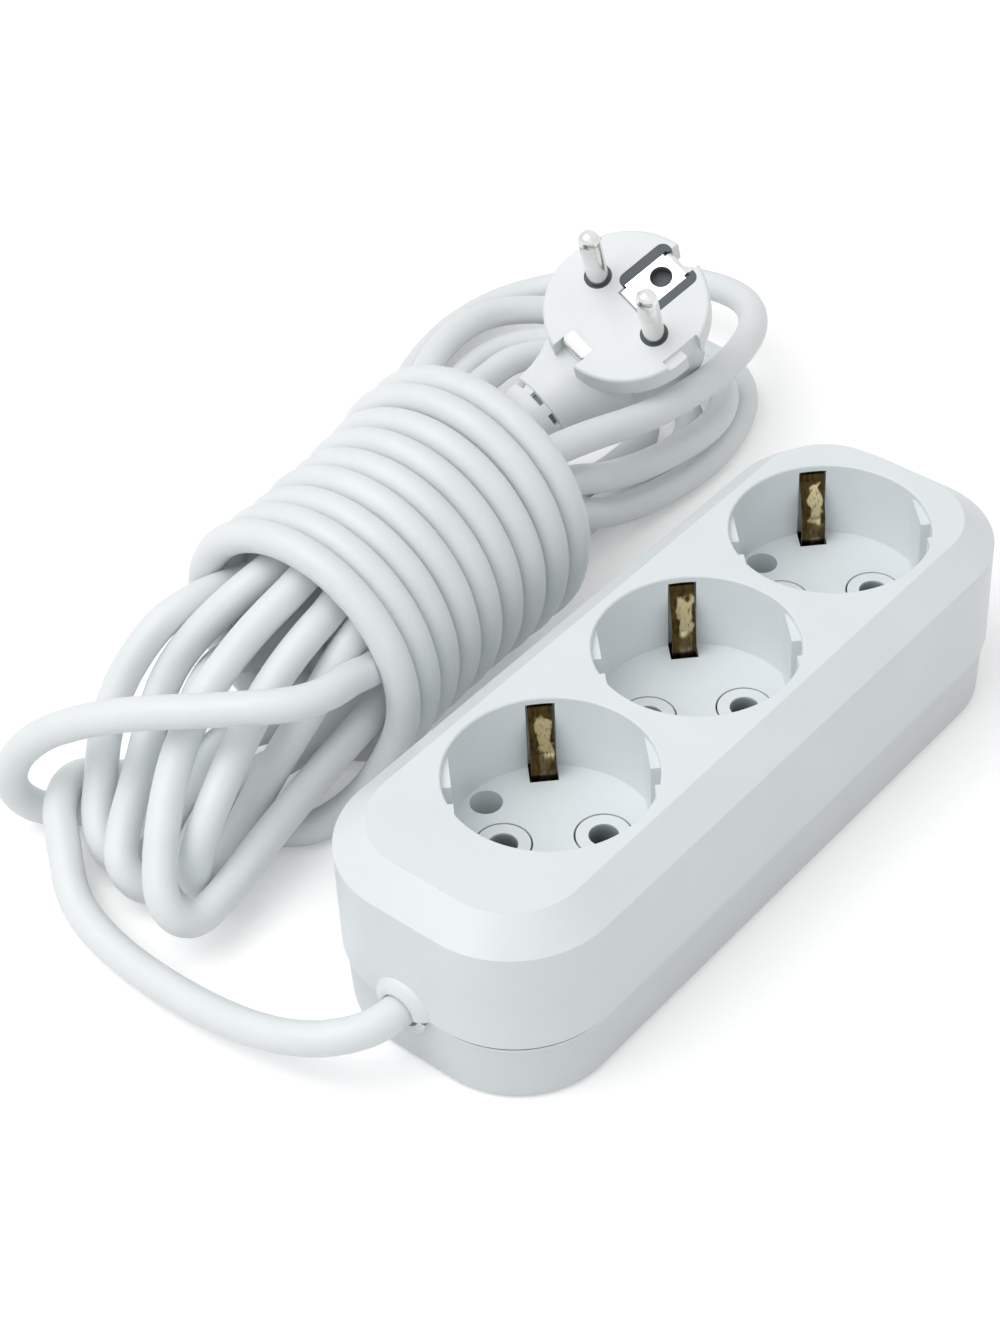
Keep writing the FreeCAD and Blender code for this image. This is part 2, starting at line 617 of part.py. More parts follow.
clip_z = earth_top + CLIP_THICKNESS / 2
clip_path = [(CLIP_ROOT_RADIUS - CLIP_FOOT_LENGTH, clip_z), (CLIP_ROOT_RADIUS, clip_z),
             (CLIP_ROOT_RADIUS, FLOOR_UNDER_Z - 4), (CLIP_REST_RADIUS, FLOOR_Z + 1.5),
             (CLIP_REST_RADIUS + 0.6, FLOOR_Z + 6),
             (CLIP_TIP_RADIUS, BLOCK_HEIGHT - CLIP_TIP_DROP - 1.5),
             (CLIP_TIP_RADIUS, BLOCK_HEIGHT - CLIP_TIP_DROP)]
for i in range(SOCKET_COUNT):
    for hand, place in ((1, "back"), (-1, "front")):
        clip = strip(clip_path, CLIP_BEND_RADIUS, CLIP_THICKNESS, CLIP_WIDTH, V(0, 0, 0),
                     V(0, hand, 0), V(0, 0, 1), V(1, 0, 0))
        save("earth_clip_" + SOCKET_NAMES[i] + "_" + place, at_socket(clip, SOCKET_X[i]))

plate_z = FLOOR_UNDER_Z - CARRIER_THICKNESS
tower_x = LEAF_WIDTH / 2 + TOWER_GAP
tower_y = LEAF_MOUTH_GAP / 2 + LEAF_THICKNESS + TOWER_GAP
for i in range(SOCKET_COUNT):
    x = SOCKET_X[i]
    plate = rod(0, 0, plate_z, FLOOR_UNDER_Z, CARRIER_RADIUS).common(
        box(-CARRIER_RADIUS, CARRIER_RADIUS, -CARRIER_WIDTH / 2, CARRIER_WIDTH / 2,
            plate_z, FLOOR_UNDER_Z))
    pieces = [at_socket(plate, x)]
    holes = []
    for side in (-1, 1):
        px = x + side * PIN_X
        py = side * PIN_Y
        pieces.append(rod(px, py, plate_z, FLOOR_Z, COLLAR_DIAMETER / 2))
        pieces.append(box(px - tower_x - TOWER_WALL, px + tower_x + TOWER_WALL,
                          py - tower_y - TOWER_WALL, py + tower_y + TOWER_WALL,
                          TOWER_BOTTOM_Z, plate_z + 1))
        holes.append(rod(px, py, plate_z - 1, FLOOR_Z + 1, PIN_HOLE_DIAMETER / 2))
        holes.append(box(px - tower_x, px + tower_x, py - tower_y, py + tower_y,
                         TOWER_BOTTOM_Z - 1, plate_z))
    pieces.append(box(x - LEG_LENGTH / 2, x + LEG_LENGTH / 2, -LEG_WIDTH / 2, LEG_WIDTH / 2,
                      earth_top, plate_z + 1))
    carrier = fuse(pieces)
    for hole_shape in holes:
        carrier = carrier.cut(hole_shape)
    save("contact_carrier_" + SOCKET_NAMES[i], carrier)

# the three cores from the end of the sheath to the bars
bar_top = BAR_Z + BAR_THICKNESS
live_solid, live_bore, live_core_z = barrel(PIN_Y, bar_top)
neutral_solid, neutral_bore, neutral_core_z = barrel(-PIN_Y, bar_top)
save("live_bar", fuse([bar(1), live_solid]).cut(live_bore))
save("neutral_bar", fuse([bar(-1), neutral_solid]).cut(neutral_bore))


def core_start(angle):
    """Where a core lies in the cord's round, seen along the cord."""
    a = math.radians(angle)
    return EXIT_Y + CORE_CIRCLE * math.cos(a), PARTING_Z + CORE_CIRCLE * math.sin(a)


for name, angle, end_y, end_z, bend_at, level_at in (
        ("core_brown", 210, PIN_Y, live_core_z, 0.22, 0.66),
        ("core_blue", 330, -PIN_Y, neutral_core_z, 0.22, 0.66),
        ("core_green_yellow", 90, 0, earth_core_z, 0.42, 0.9)):
    y0, z0 = core_start(angle)
    reach = terminal_x - sheath_end_x
    save(name, tube([V(sheath_end_x, y0, z0), V(sheath_end_x + reach * bend_at, y0, z0),
                     V(sheath_end_x + reach * level_at, end_y, end_z),
                     V(terminal_x + barrel_length * 0.6, end_y, end_z)], CORE_DIAMETER, name))

# the plug, drawn on its own axes and then laid where it rests
plug_w = V(PLUG_W).normalize()
plug_v = (PLUG_V - plug_w * PLUG_V.dot(plug_w)).normalize()
plug_u = plug_v.cross(plug_w)
plug_place = FreeCAD.Placement(FreeCAD.Matrix(
    plug_u.x, plug_v.x, plug_w.x, PLUG_FACE.x, plug_u.y, plug_v.y, plug_w.y, PLUG_FACE.y,
    plug_u.z, plug_v.z, plug_w.z, PLUG_FACE.z, 0, 0, 0, 1))


def at_plug(shape):
    placed = shape.copy()
    placed.Placement = plug_place.multiply(placed.Placement)
    return placed


def plug_point(v, w):
    return PLUG_FACE + plug_v * v + plug_w * w


neck_radius = PLUG_NECK_DIAMETER / 2
body_radius = PLUG_BODY_WIDTH / 2
flange = rod(0, 0, -PLUG_FLANGE, 0, PLUG_RADIUS)
flange = flange.makeFillet(PLUG_EDGE_RADIUS, [e for e in flange.Edges if e.Length > PLUG_RADIUS
                                              and len(e.Vertexes) == 1])
core_block = box(-body_radius, body_radius, -body_radius, body_radius,
                 -PLUG_BODY_DEPTH, -PLUG_FLANGE / 2)
core_block = core_block.makeFillet(PLUG_BODY_CORNER, [e for e in core_block.Edges
                                                      if e.BoundBox.ZLength > 1])
core_block = core_block.makeFillet(PLUG_BODY_RADIUS, [e for e in core_block.Edges
                                                      if e.BoundBox.ZMax < 1 - PLUG_BODY_DEPTH])
shoulder_v = PLUG_BODY_WIDTH / 4
shoulder_radius = SHOULDER_DIAMETER / 2
shoulder = Part.makeCone(body_radius - 1.5, shoulder_radius, SHOULDER_START_V - shoulder_v,
                         V(0, -shoulder_v, PLUG_NECK_W), V(0, -1, 0))
waist = Part.makeCylinder(shoulder_radius, SHOULDER_END_V - SHOULDER_START_V + 1,
                          V(0, 1 - SHOULDER_START_V, PLUG_NECK_W), V(0, -1, 0))
waist = waist.makeFillet(PLUG_EDGE_RADIUS, [e for e in waist.Edges
                                            if e.BoundBox.YMax < 1 - SHOULDER_END_V])
neck = Part.makeCylinder(neck_radius, PLUG_NECK_LENGTH - SHOULDER_END_V + 1,
                         V(0, 1 - SHOULDER_END_V, PLUG_NECK_W), V(0, -1, 0))
strip_in = EARTH_STRIP_V - EARTH_STRIP_THICKNESS
backing = box(-EARTH_STRIP_WIDTH / 2 - 1.5, EARTH_STRIP_WIDTH / 2 + 1.5, -strip_in, strip_in,
              -EARTH_STRIP_DOWN - 1, -PLUG_FLANGE / 2)
body = fuse([flange, core_block, shoulder, waist, neck, backing])

groove_half = EARTH_STRIP_WIDTH / 2 + EARTH_STRIP_GAP
for side in (-1, 1):
    v0, v1 = sorted((side * strip_in, side * (PLUG_RADIUS + 2)))
    body = body.cut(box(-groove_half, groove_half, v0, v1, -PLUG_FLANGE - GROOVE_OPEN, 1))
    u0, u1 = sorted((side * NOTCH_U, side * (PLUG_RADIUS + 2)))
    body = body.cut(box(u0, u1, NOTCH_V_STEP, NOTCH_V_OUT, -PLUG_FLANGE - 1, 1))
    body = body.cut(box(u0, u1, NOTCH_V_IN, NOTCH_V_STEP, -NOTCH_STEP_DOWN, 1))
half_strip = EARTH_STRIP_THICKNESS / 2
plate_w = -PLATE_THICKNESS
pocket = box(-POCKET_HALF_WIDTH, POCKET_HALF_WIDTH, POCKET_V_IN, POCKET_V_OUT,
             BRIDGE_TOP_W - 1, 1)
pocket = pocket.makeFillet(POCKET_RADIUS, [e for e in pocket.Edges if e.BoundBox.ZLength > 1])
body = body.cut(pocket)
body = body.cut(box(-groove_half, groove_half, PLATE_V_IN, POCKET_V_IN + 1,
                    plate_w - half_strip, 1))
slot_v = -RELIEF_SLOT_V - RELIEF_SLOT_WIDTH
ring = Part.makeCylinder(neck_radius + 3, RELIEF_SLOT_WIDTH, V(0, -RELIEF_SLOT_V, PLUG_NECK_W),
                         V(0, -1, 0))
ring = ring.cut(Part.makeCylinder(neck_radius - RELIEF_SLOT_DEPTH, RELIEF_SLOT_WIDTH + 2,
                                  V(0, 1 - RELIEF_SLOT_V, PLUG_NECK_W), V(0, -1, 0)))
ring = ring.cut(box(-RELIEF_BRIDGE / 2, RELIEF_BRIDGE / 2, slot_v - 1, 1 - RELIEF_SLOT_V,
                    PLUG_NECK_W - PLUG_RADIUS, PLUG_NECK_W + PLUG_RADIUS))
body = body.cut(ring)

# The pins and the grey carrier that holds them, rings them and fills the pocket round the plate.
pin_radius = PLUG_PIN_DIAMETER / 2
pins = []
for side in (-1, 1):
    u = side * PIN_OFFSET
    pin = rod(u, 0, PIN_STEP, PLUG_PIN_LENGTH - pin_radius, pin_radius)
    shank = rod(u, 0, -PLUG_PIN_REACH, PIN_STEP + 0.1, PIN_SHANK_DIAMETER / 2)
    tip = Part.makeSphere(pin_radius, V(u, 0, PLUG_PIN_LENGTH - pin_radius))
    tail = rod(u, 0, -PLUG_PIN_REACH - PIN_TAIL_LENGTH, -PLUG_PIN_REACH + 0.1,
               PIN_TAIL_DIAMETER / 2)
    pins.append(fuse([pin, shank, tip, tail]))
    body = body.cut(rod(u, 0, -PIN_RING_DEPTH, 1, PIN_RING_DIAMETER / 2))
insert = pocket.cut(box(-PLUG_RADIUS, PLUG_RADIUS, -PLUG_RADIUS, PLUG_RADIUS, -POCKET_DROP, 2))
insert = insert.cut(box(-PLATE_HALF_WIDTH, PLATE_HALF_WIDTH, POCKET_V_IN - 1, strip_in,
                        plate_w - half_strip, 1))
insert = insert.cut(box(-groove_half, groove_half, strip_in, PLUG_RADIUS, BRIDGE_TOP_W - 2, 1))
insert = insert.cut(rod(0, PLATE_HOLE_V, -PLATE_HOLE_DEPTH, 1, PLATE_HOLE_DIAMETER / 2))
bridge = fuse([box(-BRIDGE_HALF_LENGTH, BRIDGE_HALF_LENGTH, -BRIDGE_HALF_WIDTH,
                   BRIDGE_HALF_WIDTH, BRIDGE_BOTTOM_W, BRIDGE_TOP_W), insert]
              + [rod(side * PIN_OFFSET, 0, BRIDGE_TOP_W - 1, -PIN_RING_DEPTH,
                     PIN_RING_DIAMETER / 2) for side in (-1, 1)])
for pin in pins:
    bridge = bridge.cut(pin)

# One earth strip: up one side, over the face, under it past the pins, out over the pocket with the
# hole for the socket's earth pin, and down the other side.
face_w = -half_strip
tab_v = EARTH_STRIP_V - half_strip - EARTH_TAB
low_w = BRIDGE_TOP_W + half_strip
side_v = EARTH_STRIP_V - half_strip
bend = EARTH_STRIP_THICKNESS
strip_path = [(-side_v, -EARTH_STRIP_DOWN), (-side_v, face_w), (-tab_v, face_w), (-tab_v, low_w),
              (PLATE_V_IN + half_strip, low_w), (PLATE_V_IN + half_strip, plate_w),
              (side_v, plate_w), (side_v, -EARTH_STRIP_DOWN)]
earth_strip = strip(strip_path, bend, EARTH_STRIP_THICKNESS, EARTH_STRIP_WIDTH, V(0, 0, 0),
                    V(0, 1, 0), V(0, 0, 1), V(1, 0, 0))
plate = box(-PLATE_HALF_WIDTH, PLATE_HALF_WIDTH, POCKET_V_IN + 0.6, strip_in - 1,
            plate_w - half_strip, plate_w + half_strip)
earth_strip = fuse([earth_strip, plate]).cut(
    rod(0, PLATE_HOLE_V, plate_w - 2, plate_w + 2, PLATE_HOLE_DIAMETER / 2))
bridge = bridge.cut(earth_strip)

# Inside the moulding: the end of the cord's sheath, and three cores to the pins and the strip.
sheath_v = -PLUG_SHEATH_IN
core_r = CORE_DIAMETER / 2
pin_end_w = -PLUG_PIN_REACH - PIN_TAIL_LENGTH
cores = {}
for name, side in (("plug_core_brown", 1), ("plug_core_blue", -1)):
    u = side * CORE_CIRCLE
    w = PLUG_NECK_W - CORE_CIRCLE / 2
    end_u = side * PIN_OFFSET
    cores[name] = tube([V(u, sheath_v, w), V(u, sheath_v + 3, w), V(end_u, -5, pin_end_w - 4),
                        V(end_u, 0, pin_end_w - 4), V(end_u, 0, pin_end_w)],
                       CORE_DIAMETER, name)
w = PLUG_NECK_W + CORE_CIRCLE
cores["plug_core_green_yellow"] = Part.makeCylinder(
    core_r, PLUG_SHEATH_IN - side_v - half_strip, V(0, sheath_v, w), V(0, 1, 0))

sheath_end = Part.makeCylinder(CORD_RADIUS, PLUG_NECK_LENGTH - PLUG_SHEATH_IN,
                               V(0, sheath_v, PLUG_NECK_W), V(0, -1, 0))
for piece in [bridge, earth_strip, sheath_end] + pins + list(cores.values()):
    body = body.cut(piece)
save("plug_body", at_plug(body))
save("plug_bridge", at_plug(bridge))
save("plug_pin_left", at_plug(pins[0]))
save("plug_pin_right", at_plug(pins[1]))
save("plug_earth_strip", at_plug(earth_strip))
save("cord_end_in_plug", at_plug(sheath_end))
for name, core in cores.items():
    save(name, at_plug(core))
save("cord_end_in_block", Part.makeCylinder(CORD_RADIUS, SHEATH_INSIDE,
                                            V(BLOCK_END_X, EXIT_Y, PARTING_Z), V(1, 0, 0)))


def hank_point(s, t, z):
    """A point on the hank's own axes, as a point of the part."""
    a = math.radians(HANK_TURN)
    return V(HANK_X + s * math.cos(a) - t * math.sin(a),
             HANK_Y + s * math.sin(a) + t * math.cos(a), z)


def hank_dir(s, t, z):
    return (hank_point(s, t, z) - hank_point(0, 0, 0)).normalize()


def biarc(p0, t0, p1, t1):
    """Two arcs from p0 to p1, leaving along t0, arriving along t1 and tangent where they meet."""
    v = p1 - p0
    t = t0 + t1
    k = 2 * (1 - t0.dot(t1))
    if k < 1e-9:
        d = v.dot(v) / (4 * v.dot(t1))
    else:
        d = (math.sqrt(v.dot(t) ** 2 + k * v.dot(v)) - v.dot(t)) / k
    middle = (p0 + p1 + (t0 - t1) * d) * 0.5
    return [arc_from(p0, t0, middle), arc_from(p1, t1 * -1, middle)]


def arc_from(a, tangent, b):
    """Start, middle and end of the arc that leaves a along tangent and ends at b."""
    chord = b - a
    size = chord.Length
    along = chord * (1 / size)
    side = tangent - along * tangent.dot(along)
    if side.Length < 1e-7:
        return (a, (a + b) * 0.5, b)
    rise = size / 2 * math.tan(tangent.getAngle(along) / 2)
    return (a, (a + b) * 0.5 + side.normalize() * rise, b)


def wound(stations, name):
    """A tube through stations of (point, direction), a pair of arcs from each to the next."""
    edges = []
    for i in range(len(stations) - 1):
        first, second = biarc(stations[i][0], stations[i][1],
                              stations[i + 1][0], stations[i + 1][1])
        for a, m, b in (first, (second[2], second[1], second[0])):
            if ((m - a).normalize() - (b - m).normalize()).Length < 1e-6:
                edges.append(Part.LineSegment(a, b).toShape())
            else:
                edges.append(Part.Arc(a, m, b).toShape())
    wire = Part.Wire(edges)
    circle = Part.Wire([Part.makeCircle(CORD_RADIUS, stations[0][0], stations[0][1])])
    solid = wire.makePipeShell([circle], True, False)
    ideal = math.pi * CORD_RADIUS ** 2 * wire.Length
    print(name, "length", round(wire.Length, 1), "volume ratio", round(solid.Volume / ideal, 4))
    return solid, wire


def least_gap(wire, name):
    """Prints the least gap between parts of one wound tube, measured on points along it."""
    step = CORD_DIAMETER / 8
    points = wire.discretize(Distance=step)
    skip = int(math.pi * CORD_DIAMETER / step)
    cells = {}
    for i, p in enumerate(points):
        key = (int(p.x // CORD_DIAMETER), int(p.y // CORD_DIAMETER), int(p.z // CORD_DIAMETER))
        cells.setdefault(key, []).append(i)
    least = 1e9
    for (a, b, c), members in cells.items():
        near = []
        for da in (-1, 0, 1):
            for db in (-1, 0, 1):
                for dc in (-1, 0, 1):
                    near += cells.get((a + da, b + db, c + dc), [])
        for i in members:
            for j in near:
                if j > i + skip:
                    least = min(least, points[i].distanceToPoint(points[j]))
    print(name, "least gap", round(least - CORD_DIAMETER, 3), "lowest",
          round(min(p.z for p in points) - CORD_RADIUS, 3))


# The winding round the waist: turns that run up on the left and down on the right.
wrap_z = WRAP_RADIUS + CORD_RADIUS + 0.05


def wrap_station(quarter):
    """The winding's point and direction after so many quarter turns."""
    a = math.pi / 2 * quarter
    s = WRAP_START_S - WRAP_PITCH * quarter / 4
    point = hank_point(s, WRAP_RADIUS * math.cos(a), wrap_z + WRAP_RADIUS * math.sin(a))
    return (point, hank_dir(-WRAP_PITCH / 4, -WRAP_RADIUS * math.sin(a) * math.pi / 2,
                            WRAP_RADIUS * math.cos(a) * math.pi / 2))


turns = [wrap_station(q) for q in range(WRAP_QUARTERS + 1)]
wrap_in = (turns[0][0] - turns[0][1] * CORD_DIAMETER, turns[0][1])
wrap_out = (turns[-1][0] + turns[-1][1] * CORD_DIAMETER, turns[-1][1])
wrap_solid, wrap_wire = wound([wrap_in] + turns + [wrap_out], "cord_wrap")
least_gap(wrap_wire, "cord_wrap")
save("cord_wrap", wrap_solid)


# The hank inside the winding: loops drawn in at the waist, in rows one over another there
# and stacked bow on bow outside it. Each loop leaves the waist on the left, comes back on
# the right, and goes round the plug end into the next one.
def hank_row(row):
    return wrap_z + HANK_STEP * (row - (HANK_ROWS - 1) / 2)


def bow_level(row):
    level = CORD_RADIUS + BOW_LIFT + BOW_STEP * row
    if row == HANK_ROWS - 1:
        level += BOW_TOP_EXTRA
    return level


def station(s, t, z, ds, dt, dz):
    return (hank_point(s, t, z), hank_dir(ds, dt, dz))


def near_half(row, column):
    """The half loop by the block, from the waist's left side back to its right."""
    side = HANK_STEP * (column + 0.5)
    width, middle, apex = NEAR_BOW[column]
    if column == 1:
        middle += NEAR_SHIFT[row]
        apex += NEAR_REACH[row]
    wide_s = NEAR_WIDE_S + 3 * column
    z = hank_row(row)
    low = bow_level(row)
    wide_z = low + 0.42 * (z - low)
    fall = 0.5 * (z - low) / 23
    return [station(-NEAR_MOUTH, side, z, -1, 0, 0),
            station(-wide_s, middle + width, wide_z, -1, 0, -fall),
            station(-apex, middle, low, 0, -1, 0),
            station(-wide_s, middle - width, wide_z, 1, 0, fall),
            station(-NEAR_MOUTH, -side, z, 1, 0, 0)]


def far_half(loop):
    """The half loop round the plug's end, from the waist's right side to the next loop."""
    row, column = LOOPS[loop]
    s, t, z = FAR_RIGHT[loop]
    a_s, a_t, a_z = FAR_APEX[loop]
    stations = [station(FAR_MOUTH, -HANK_STEP * (column + 0.5), hank_row(row), 1, 0, 0),
                station(s, t, z, 1, 0, -0.02),
                station(a_s, a_t, a_z, 0, 1, 0)]
    if loop < len(LOOPS) - 1:
        row, column = LOOPS[loop + 1]
        s, t, z = FAR_LEFT[loop]
        stations += [station(s, t, z, -1, 0, 0.05 if row else 0),
                     station(FAR_MOUTH, HANK_STEP * (column + 0.5), hank_row(row), -1, 0, 0)]
    return stations


hank_stations = [station(HANK_START_S, HANK_STEP / 2, hank_row(0), -1, 0, 0)]
for i, (row, column) in enumerate(LOOPS):
    hank_stations += near_half(row, column)
    hank_stations += far_half(i)
hank_stations += [station(96.0, 64.0, 4.4, -1, -0.05, 0), station(58.0, 44.0, 4.4, -1, -0.75, 0),
                  wrap_in]
hank_solid, hank_wire = wound(hank_stations, "cord_hank")
least_gap(hank_wire, "cord_hank")
save("cord_hank", hank_solid)

# The end of the cord between the plug's neck and the hank, hidden under the plug.
neck_end = plug_point(-PLUG_NECK_LENGTH, PLUG_NECK_W)
neck_out = plug_point(-PLUG_NECK_LENGTH - 6.6, PLUG_NECK_W)
tail_route = [neck_end, neck_out, hank_point(43.6, 7.6, 18.8),
              hank_point(HANK_START_S + 8, HANK_STEP / 2, hank_row(0)),
              hank_point(HANK_START_S, HANK_STEP / 2, hank_row(0))]
save("cord_tail", tube(tail_route, CORD_DIAMETER, "cord_tail"))

# The lead from the winding along the floor to the block.
lead_route = [V(BLOCK_END_X, EXIT_Y, PARTING_Z), V(-86.0, 2.0, 15.0), V(-91.8, 5.6, 14.2),
              V(-95.8, 12.4, 12.0), V(-97.9, 23.0, 8.8), V(-98.0, 37.5, 5.2), V(-96.2, 54.0, 3.6),
              V(-92.7, 70.8, 3.5), V(-86.5, 87.3, 3.5), V(-75.9, 100.2, 3.5), V(-64.5, 105.5, 3.5),
              V(-52.7, 103.3, 3.5), V(-42.2, 97.6, 3.5), wrap_out[0] + wrap_out[1] * 11.2, wrap_out[0]]
save("cord_lead", tube(lead_route, CORD_DIAMETER, "cord_lead"))
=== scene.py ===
import math

import bmesh
import bpy
from mathutils import Matrix, Vector


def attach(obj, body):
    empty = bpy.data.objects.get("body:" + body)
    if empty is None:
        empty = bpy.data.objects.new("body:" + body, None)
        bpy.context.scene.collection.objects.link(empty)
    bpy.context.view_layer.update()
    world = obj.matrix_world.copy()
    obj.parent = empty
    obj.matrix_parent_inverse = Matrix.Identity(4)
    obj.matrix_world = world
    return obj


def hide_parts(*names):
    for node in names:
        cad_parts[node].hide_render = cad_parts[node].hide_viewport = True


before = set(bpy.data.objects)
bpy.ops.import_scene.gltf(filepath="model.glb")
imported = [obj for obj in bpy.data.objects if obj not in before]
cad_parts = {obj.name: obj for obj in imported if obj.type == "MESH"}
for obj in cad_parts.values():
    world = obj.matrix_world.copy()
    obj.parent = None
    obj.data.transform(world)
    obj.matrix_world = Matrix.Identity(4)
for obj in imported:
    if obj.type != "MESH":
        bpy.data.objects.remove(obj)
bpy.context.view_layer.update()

MM = 0.001

# The camera stands where the photograph was taken from.
CAMERA_AT = Vector((-330.05, -248.64, 409.03)) * MM
CAMERA_RIGHT = Vector((0.63848, -0.76858, -0.04022))
CAMERA_UP = Vector((0.52994, 0.40114, 0.74716))
CAMERA_BACK = Vector((-0.55812, -0.49837, 0.66342))

FOCAL_LENGTH, SENSOR_WIDTH = 78.04, 36.0

# The sockets: where the first stands, and the step to the next.
SOCKET_X, SOCKET_PITCH = -39.25, 44.5
# The middle of the hole in the block's end, where the cord comes out.
CORD_HOLE = (-80.75, 2.0, 15.0)
# The cord, and the hank's own axes: S along its waist, T to the left of it.
CORD_DIAMETER = 6.8
HANK_X, HANK_Y = -2.25, 73.0
HANK_TURN = math.radians(4.3)


def colour(text):
    """An sRGB hex colour, as the linear values that a shader works in."""
    parts = [int(text[i:i + 2], 16) / 255 for i in (1, 3, 5)]
    return [p / 12.92 if p <= 0.04045 else ((p + 0.055) / 1.055) ** 2.4 for p in parts] + [1.0]


def add_node(tree, kind, links=(), **settings):
    """A shader node with its settings, its sockets' values and what is plugged into them."""
    made = tree.nodes.new(kind)
    for name, value in settings.items():
        if name == "values":
            for socket, number in value.items():
                made.inputs[socket].default_value = number
        elif name == "stops":
            ramp = made.color_ramp
            while len(ramp.elements) < len(value):
                ramp.elements.new(0.5)
            for element, (place, shade) in zip(ramp.elements, value):
                element.position = place
                element.color = shade
        else:
            setattr(made, name, value)
    for socket, source in links:
        tree.links.new(source, made.inputs[socket])
    return made


def start_material(name):
    """An empty material, its node tree, and the place on the object that its textures use."""
    material = bpy.data.materials.new(name)
    material.use_nodes = True
    tree = material.node_tree
    tree.nodes.clear()
    place = add_node(tree, "ShaderNodeTexCoord")
    return material, tree, place.outputs["Object"]


def close_material(tree, shader):
    add_node(tree, "ShaderNodeOutputMaterial", links=[("Surface", shader.outputs[0])])


def moulded_plastic(name, light, dark, roughness, grain_mm, grain_depth, sub=0.0, levels=()):
    """Injection moulded plastic: an even satin gloss over a fine spark-eroded grain, with
    faint flow clouds in the colour. Levels are heights in mm, each with a tone over it, and
    sub is the share of light that goes under the surface."""
    material, tree, place = start_material(name)
    clouds = add_node(tree, "ShaderNodeTexNoise", [("Vector", place)],
                      values={"Scale": 1 / (22 * MM), "Detail": 3.0, "Roughness": 0.55})
    tint = add_node(tree, "ShaderNodeValToRGB", [("Fac", clouds.outputs["Fac"])],
                    stops=[(0.30, colour(dark)), (0.66, colour(light))]).outputs["Color"]
    if levels:
        low, high = levels[0][0], levels[-1][0]
        height = add_node(tree, "ShaderNodeSeparateXYZ", [("Vector", place)])
        share = add_node(tree, "ShaderNodeMapRange", [("Value", height.outputs["Z"])],
                         values={"From Min": low * MM, "From Max": high * MM})
        tone = add_node(tree, "ShaderNodeValToRGB", [("Fac", share.outputs["Result"])],
                        stops=[((z - low) / (high - low), colour(text)) for z, text in levels])
        tint = add_node(tree, "ShaderNodeMix", [("A", tint), ("B", tone.outputs["Color"])],
                        data_type="RGBA", blend_type="MULTIPLY",
                        values={"Factor": 1.0}).outputs["Result"]
    grain = add_node(tree, "ShaderNodeTexNoise", [("Vector", place)],
                     values={"Scale": 1 / (grain_mm * MM), "Detail": 2.0, "Roughness": 0.6})
    wipe = add_node(tree, "ShaderNodeTexNoise", [("Vector", place)],
                    values={"Scale": 1 / (6 * MM), "Detail": 4.0, "Roughness": 0.6})
    rough = add_node(tree, "ShaderNodeMapRange", [("Value", wipe.outputs["Fac"])],
                     values={"From Min": 0.3, "From Max": 0.7,
                             "To Min": roughness - 0.05, "To Max": roughness + 0.07})
    bump = add_node(tree, "ShaderNodeBump", [("Height", grain.outputs["Fac"])],
                    values={"Strength": 0.35, "Distance": grain_depth * MM})
    shader = add_node(tree, "ShaderNodeBsdfPrincipled",
                      [("Base Color", tint), ("Roughness", rough.outputs[0]),
                       ("Normal", bump.outputs["Normal"])],
                      values={"IOR": 1.53, "Subsurface Weight": sub,
                              "Subsurface Radius": (1.0, 0.9, 0.85),
                              "Subsurface Scale": 4.0 * MM})
    close_material(tree, shader)
    return material


def metal(name, light, dark, roughness, patch_mm, scratch_mm, depth):
    """Rolled or turned metal: patches of thin tarnish, and fine drawing marks along it."""
    material, tree, place = start_material(name)
    patches = add_node(tree, "ShaderNodeTexNoise", [("Vector", place)],
                       values={"Scale": 1 / (patch_mm * MM), "Detail": 4.0, "Roughness": 0.6})
    tint = add_node(tree, "ShaderNodeValToRGB", [("Fac", patches.outputs["Fac"])],
                    stops=[(0.36, colour(dark)), (0.62, colour(light))])
    turned = add_node(tree, "ShaderNodeMapping", [("Vector", place)],
                      values={"Scale": (1.0, 1.0, 0.12)})
    marks = add_node(tree, "ShaderNodeTexNoise", [("Vector", turned.outputs["Vector"])],
                     values={"Scale": 1 / (scratch_mm * MM), "Detail": 3.0, "Roughness": 0.7})
    rough = add_node(tree, "ShaderNodeMapRange", [("Value", patches.outputs["Fac"])],
                     values={"From Min": 0.35, "From Max": 0.65,
                             "To Min": roughness + 0.08, "To Max": roughness})
    bump = add_node(tree, "ShaderNodeBump", [("Height", marks.outputs["Fac"])],
                    values={"Strength": 0.3, "Distance": depth * MM})
    shader = add_node(tree, "ShaderNodeBsdfPrincipled",
                      [("Base Color", tint.outputs["Color"]), ("Roughness", rough.outputs[0]),
                       ("Normal", bump.outputs["Normal"])],
                      values={"Metallic": 1.0})
    close_material(tree, shader)
    return material


